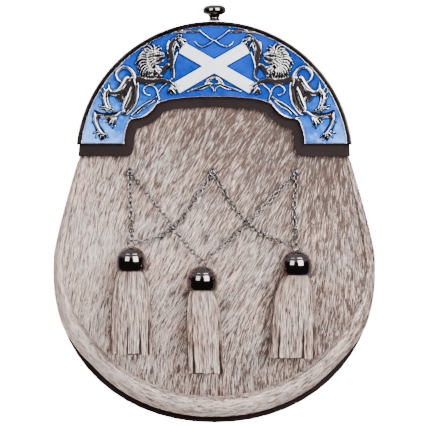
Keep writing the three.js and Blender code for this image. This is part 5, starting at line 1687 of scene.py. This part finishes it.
def tassel_oval(tassel, down):
    """Middle and half sizes of the tassel at a share of its length."""
    swell = np.interp(down, SWELL["down"], SWELL["by"])
    half_wide = HEAD_HALF + ((tassel["left"] + tassel["right"]) / 2 - STRIP_INSET - HEAD_HALF) * swell
    half_deep = HEAD_HALF + (END_HALF_DEEP - HEAD_HALF) * swell
    across = tassel["across"] + (tassel["right"] - tassel["left"]) / 2 * np.maximum(down, 0)
    return across, half_wide, half_deep, tassel["top"] - BELL_HEIGHT - TASSEL_LENGTH * down


def tassel_core(side, sides=24):
    tassel = TASSELS[side]
    turn = 2 * math.pi * np.arange(sides) / sides
    rows = []
    # the core reaches just past the cut ends, where it shows as a painted shadow line
    for down in (-0.1, 0.0, 0.1, 0.25, 0.6, 1.008):
        across, half_wide, half_deep, up = tassel_oval(tassel, down)
        rows.append(np.column_stack([across + 0.98 * half_wide * np.cos(turn),
                                     bell_depth(tassel) + 0.75 * half_deep * np.sin(turn),
                                     np.full(sides, up)]))
    faces = grid_faces(len(rows), sides, closed=True)
    faces += [cap_face(0, sides, True), cap_face((len(rows) - 1) * sides, sides)]
    make_piece(f"tassel_core_{side}", np.concatenate(rows), faces, tassel_shade_skin, "hide", [f"tassel_{side}"])


# %% [markdown]
# ## Hair in strips
#
# Each strip is filled with hair of its own: short ribbons that run down it one behind another, as hair
# lies on hide, and stop at one cut line. Towards the end the strips part, and the ribbons at a strip's
# two edges are darkened with painted shade, as are the strips at the tassel's two sides.

# %% Hair in strips
STRIP_HAIRS = 640
TASSEL_STRANDS = {"length": (4.0, 7.5), "width": (0.20, 0.34)}


def strip_hair(tassel, turn, dice):
    """Paths, outward directions and tones for one strip of a tassel."""
    count = STRIP_HAIRS
    start = dice.uniform(-0.14, 0.97, (count, 1))
    reach = dice.uniform(*TASSEL_STRANDS["length"], (count, 1)) / TASSEL_LENGTH
    end_cut = 1 + dice.normal(0, 0.008) + dice.normal(0, 0.005, (count, 1))
    down = np.minimum(start + reach * np.linspace(0, 1, 3)[None, :], end_cut - 0.01 * np.array([2, 1, 0]))
    across, half_wide, half_deep, up = tassel_oval(tassel, down)
    open_up = np.clip((down - 0.3) / 0.7, 0, 1)
    turn = turn + dice.normal(0, 0.05) * open_up
    around = np.stack([-half_wide * np.sin(turn), half_deep * np.cos(turn)], axis=-1)
    length = np.linalg.norm(around, axis=-1, keepdims=True)
    around /= length
    out = np.stack([around[..., 1], -around[..., 0]], axis=-1)
    half = math.pi / TASSEL_STRIPS * length * (1.12 - (0.12 + 0.26 * dice.random()) * open_up[..., None])
    sideways = dice.uniform(-1, 1, (count, 1, 1))
    sideways = sideways + dice.normal(0, 0.05, (count, 1, 1)) * np.linspace(0, 1, 3)[:, None]
    sideways = np.clip(sideways, -1, 1)
    thick = dice.uniform(-0.5, 0.8, (count, 1, 1)) * (1 - 0.6 * sideways ** 2)
    flat = around * sideways * half + out * (thick + 0.35)
    paths = np.stack([across + half_wide * np.cos(turn) + flat[..., 0],
                      bell_depth(tassel) + half_deep * np.sin(turn) + flat[..., 1], up], axis=-1)
    facing = out + around * dice.normal(0, 0.35, (count, 1, 1))
    outward = np.concatenate([facing, 0 * facing[..., :1]], axis=-1)
    place = sideways[:, 0, 0] * half[:, 0, 0]
    tone = streaks(place + 20 * math.cos(turn[0, 0]), -TASSEL_LENGTH * start[:, 0], np.zeros(count), 61)
    # painted shade on the strips at the tassel's two sides, where it turns away
    tone -= 0.22 * math.cos(turn[0, 0]) ** 8
    tone = 0.56 + (tone + dice.normal(0, 0.17, count) - 0.5) * 1.7
    # painted shade at the parted edges of each strip, towards the end
    tone -= 0.7 * open_up[:, 1] * np.abs(sideways[:, 0, 0]) ** 14
    return paths, outward, np.clip(tone + 0.14 * thick[:, 0, 0], 0, 1)


def tassel_strips(side, seed):
    dice = np.random.default_rng(seed)
    parts = [strip_hair(TASSELS[side], 2 * math.pi * (number + 0.5) / TASSEL_STRIPS, dice)
             for number in range(TASSEL_STRIPS)]
    paths, outward, tone = (np.concatenate(values) for values in zip(*parts))
    widths = dice.uniform(*TASSEL_STRANDS["width"], len(paths))
    ribbons(f"tassel_hair_{side}", paths, outward, widths, tone, stands_for=[f"tassel_{side}"])


for number, side in enumerate(TASSELS):
    tassel_core(side)
    tassel_strips(side, 90 + number)

# %% [markdown]
# ## Stitches
#
# The back panel is sewn to the gusset all round, the flap is sewn down along its top, and the loops at
# both their feet. A stitch is a short length of thick thread that dips into the leather at both ends.
# Each is a small bowed bar here, and a row of them is laid along a line at an even pitch, with the
# slightest turn from one to the next.

# %% A row of stitches
STITCH = {"pitch": 4.0, "half": 1.45, "thread": 0.33}


def stitch_row(line, deep, dice):
    """Stitches along a line of (across, up) places on a face at this depth, seen from behind."""
    steps = np.hypot(*np.diff(line, axis=0).T).sum() / STITCH["pitch"]
    points = evenly(line, max(2, int(steps)))
    along = np.gradient(points, axis=0)
    share = np.array([-1, -0.75, 0, 0.75, 1])
    bow, girth = np.array([0.35, -0.02, -0.16, -0.02, 0.35]), np.array([0.5, 1, 1, 1, 0.5])
    ring = 2 * math.pi * np.arange(6) / 6
    rows = []
    for (across, up), (ax, az) in zip(points, along):
        turn = math.atan2(az, ax) + dice.normal(0, 0.05)
        long_way = np.array([math.cos(turn), 0, math.sin(turn)])
        wide_way = np.array([-math.sin(turn), 0, math.cos(turn)])
        spine = np.array([across, deep, up]) + STITCH["half"] * share[:, None] * long_way
        spine[:, 1] += bow
        tube = spine[:, None] + STITCH["thread"] * girth[:, None, None] * (
            np.cos(ring)[None, :, None] * wide_way + np.sin(ring)[None, :, None] * np.array([0, 1, 0]))
        faces = grid_faces(5, 6, closed=True) + [cap_face(0, 6, True), cap_face(24, 6)]
        rows.append((tube.reshape(-1, 3), faces))
    return joined(rows)


def back_line(inset):
    """The back panel's outline, moved inward."""
    OUTLINES["back"] = {"arc": CANTLE_RADIUS - 1.4 - inset, "wide": HALF_WIDTH - inset,
                        "drop": BODY_DROP - inset, "round": ROUND_DROP, "power": 2.1}
    low = math.asin(JOIN_UP / OUTLINES["back"]["arc"])
    angle = np.linspace(low, math.pi - low, 90)
    arc = OUTLINES["back"]["arc"] * np.stack([np.cos(angle), np.sin(angle)], axis=-1)
    return np.concatenate([arc, belly_outline("back", 200)[1:]])


FLAP = {"side": 65.0, "top": 14.0, "fold": -32.0, "tongue": 16.0, "face": -2.1}


def flap_line(inset):
    turn = np.linspace(0, math.pi, 40)
    side = FLAP["side"] - inset
    tongue = np.stack([side * np.cos(turn), FLAP["fold"] - (FLAP["tongue"] - inset) * np.sin(turn)], axis=-1)
    top = FLAP["top"] - inset
    return np.concatenate([[(0, top), (side, top)], tongue, [(-side, top), (0, top)]])


LOOP = {"across": 38.0, "half_wide": 10.0, "foot": (14.6, 19.2), "face": -2.3}


def loop_lines():
    inner, outer = LOOP["foot"]
    for side in (-1, 1):
        for way in (-1, 1):
            left = side * LOOP["across"] - LOOP["half_wide"] + STITCH["half"] + 0.15
            right = side * LOOP["across"] + LOOP["half_wide"] - STITCH["half"] - 0.15
            for level in (inner + 1.0, outer - 0.9):
                yield np.array([(left, HANG_UP + way * level), (right, HANG_UP + way * level)])


dice = np.random.default_rng(70)
rows = [stitch_row(back_line(4.2), 0.0, dice), stitch_row(flap_line(3.2), FLAP["face"], dice)]
rows += [stitch_row(line, LOOP["face"], dice) for line in loop_lines()]
make_piece("stitches", *joined(rows), waxed_thread, "leather")
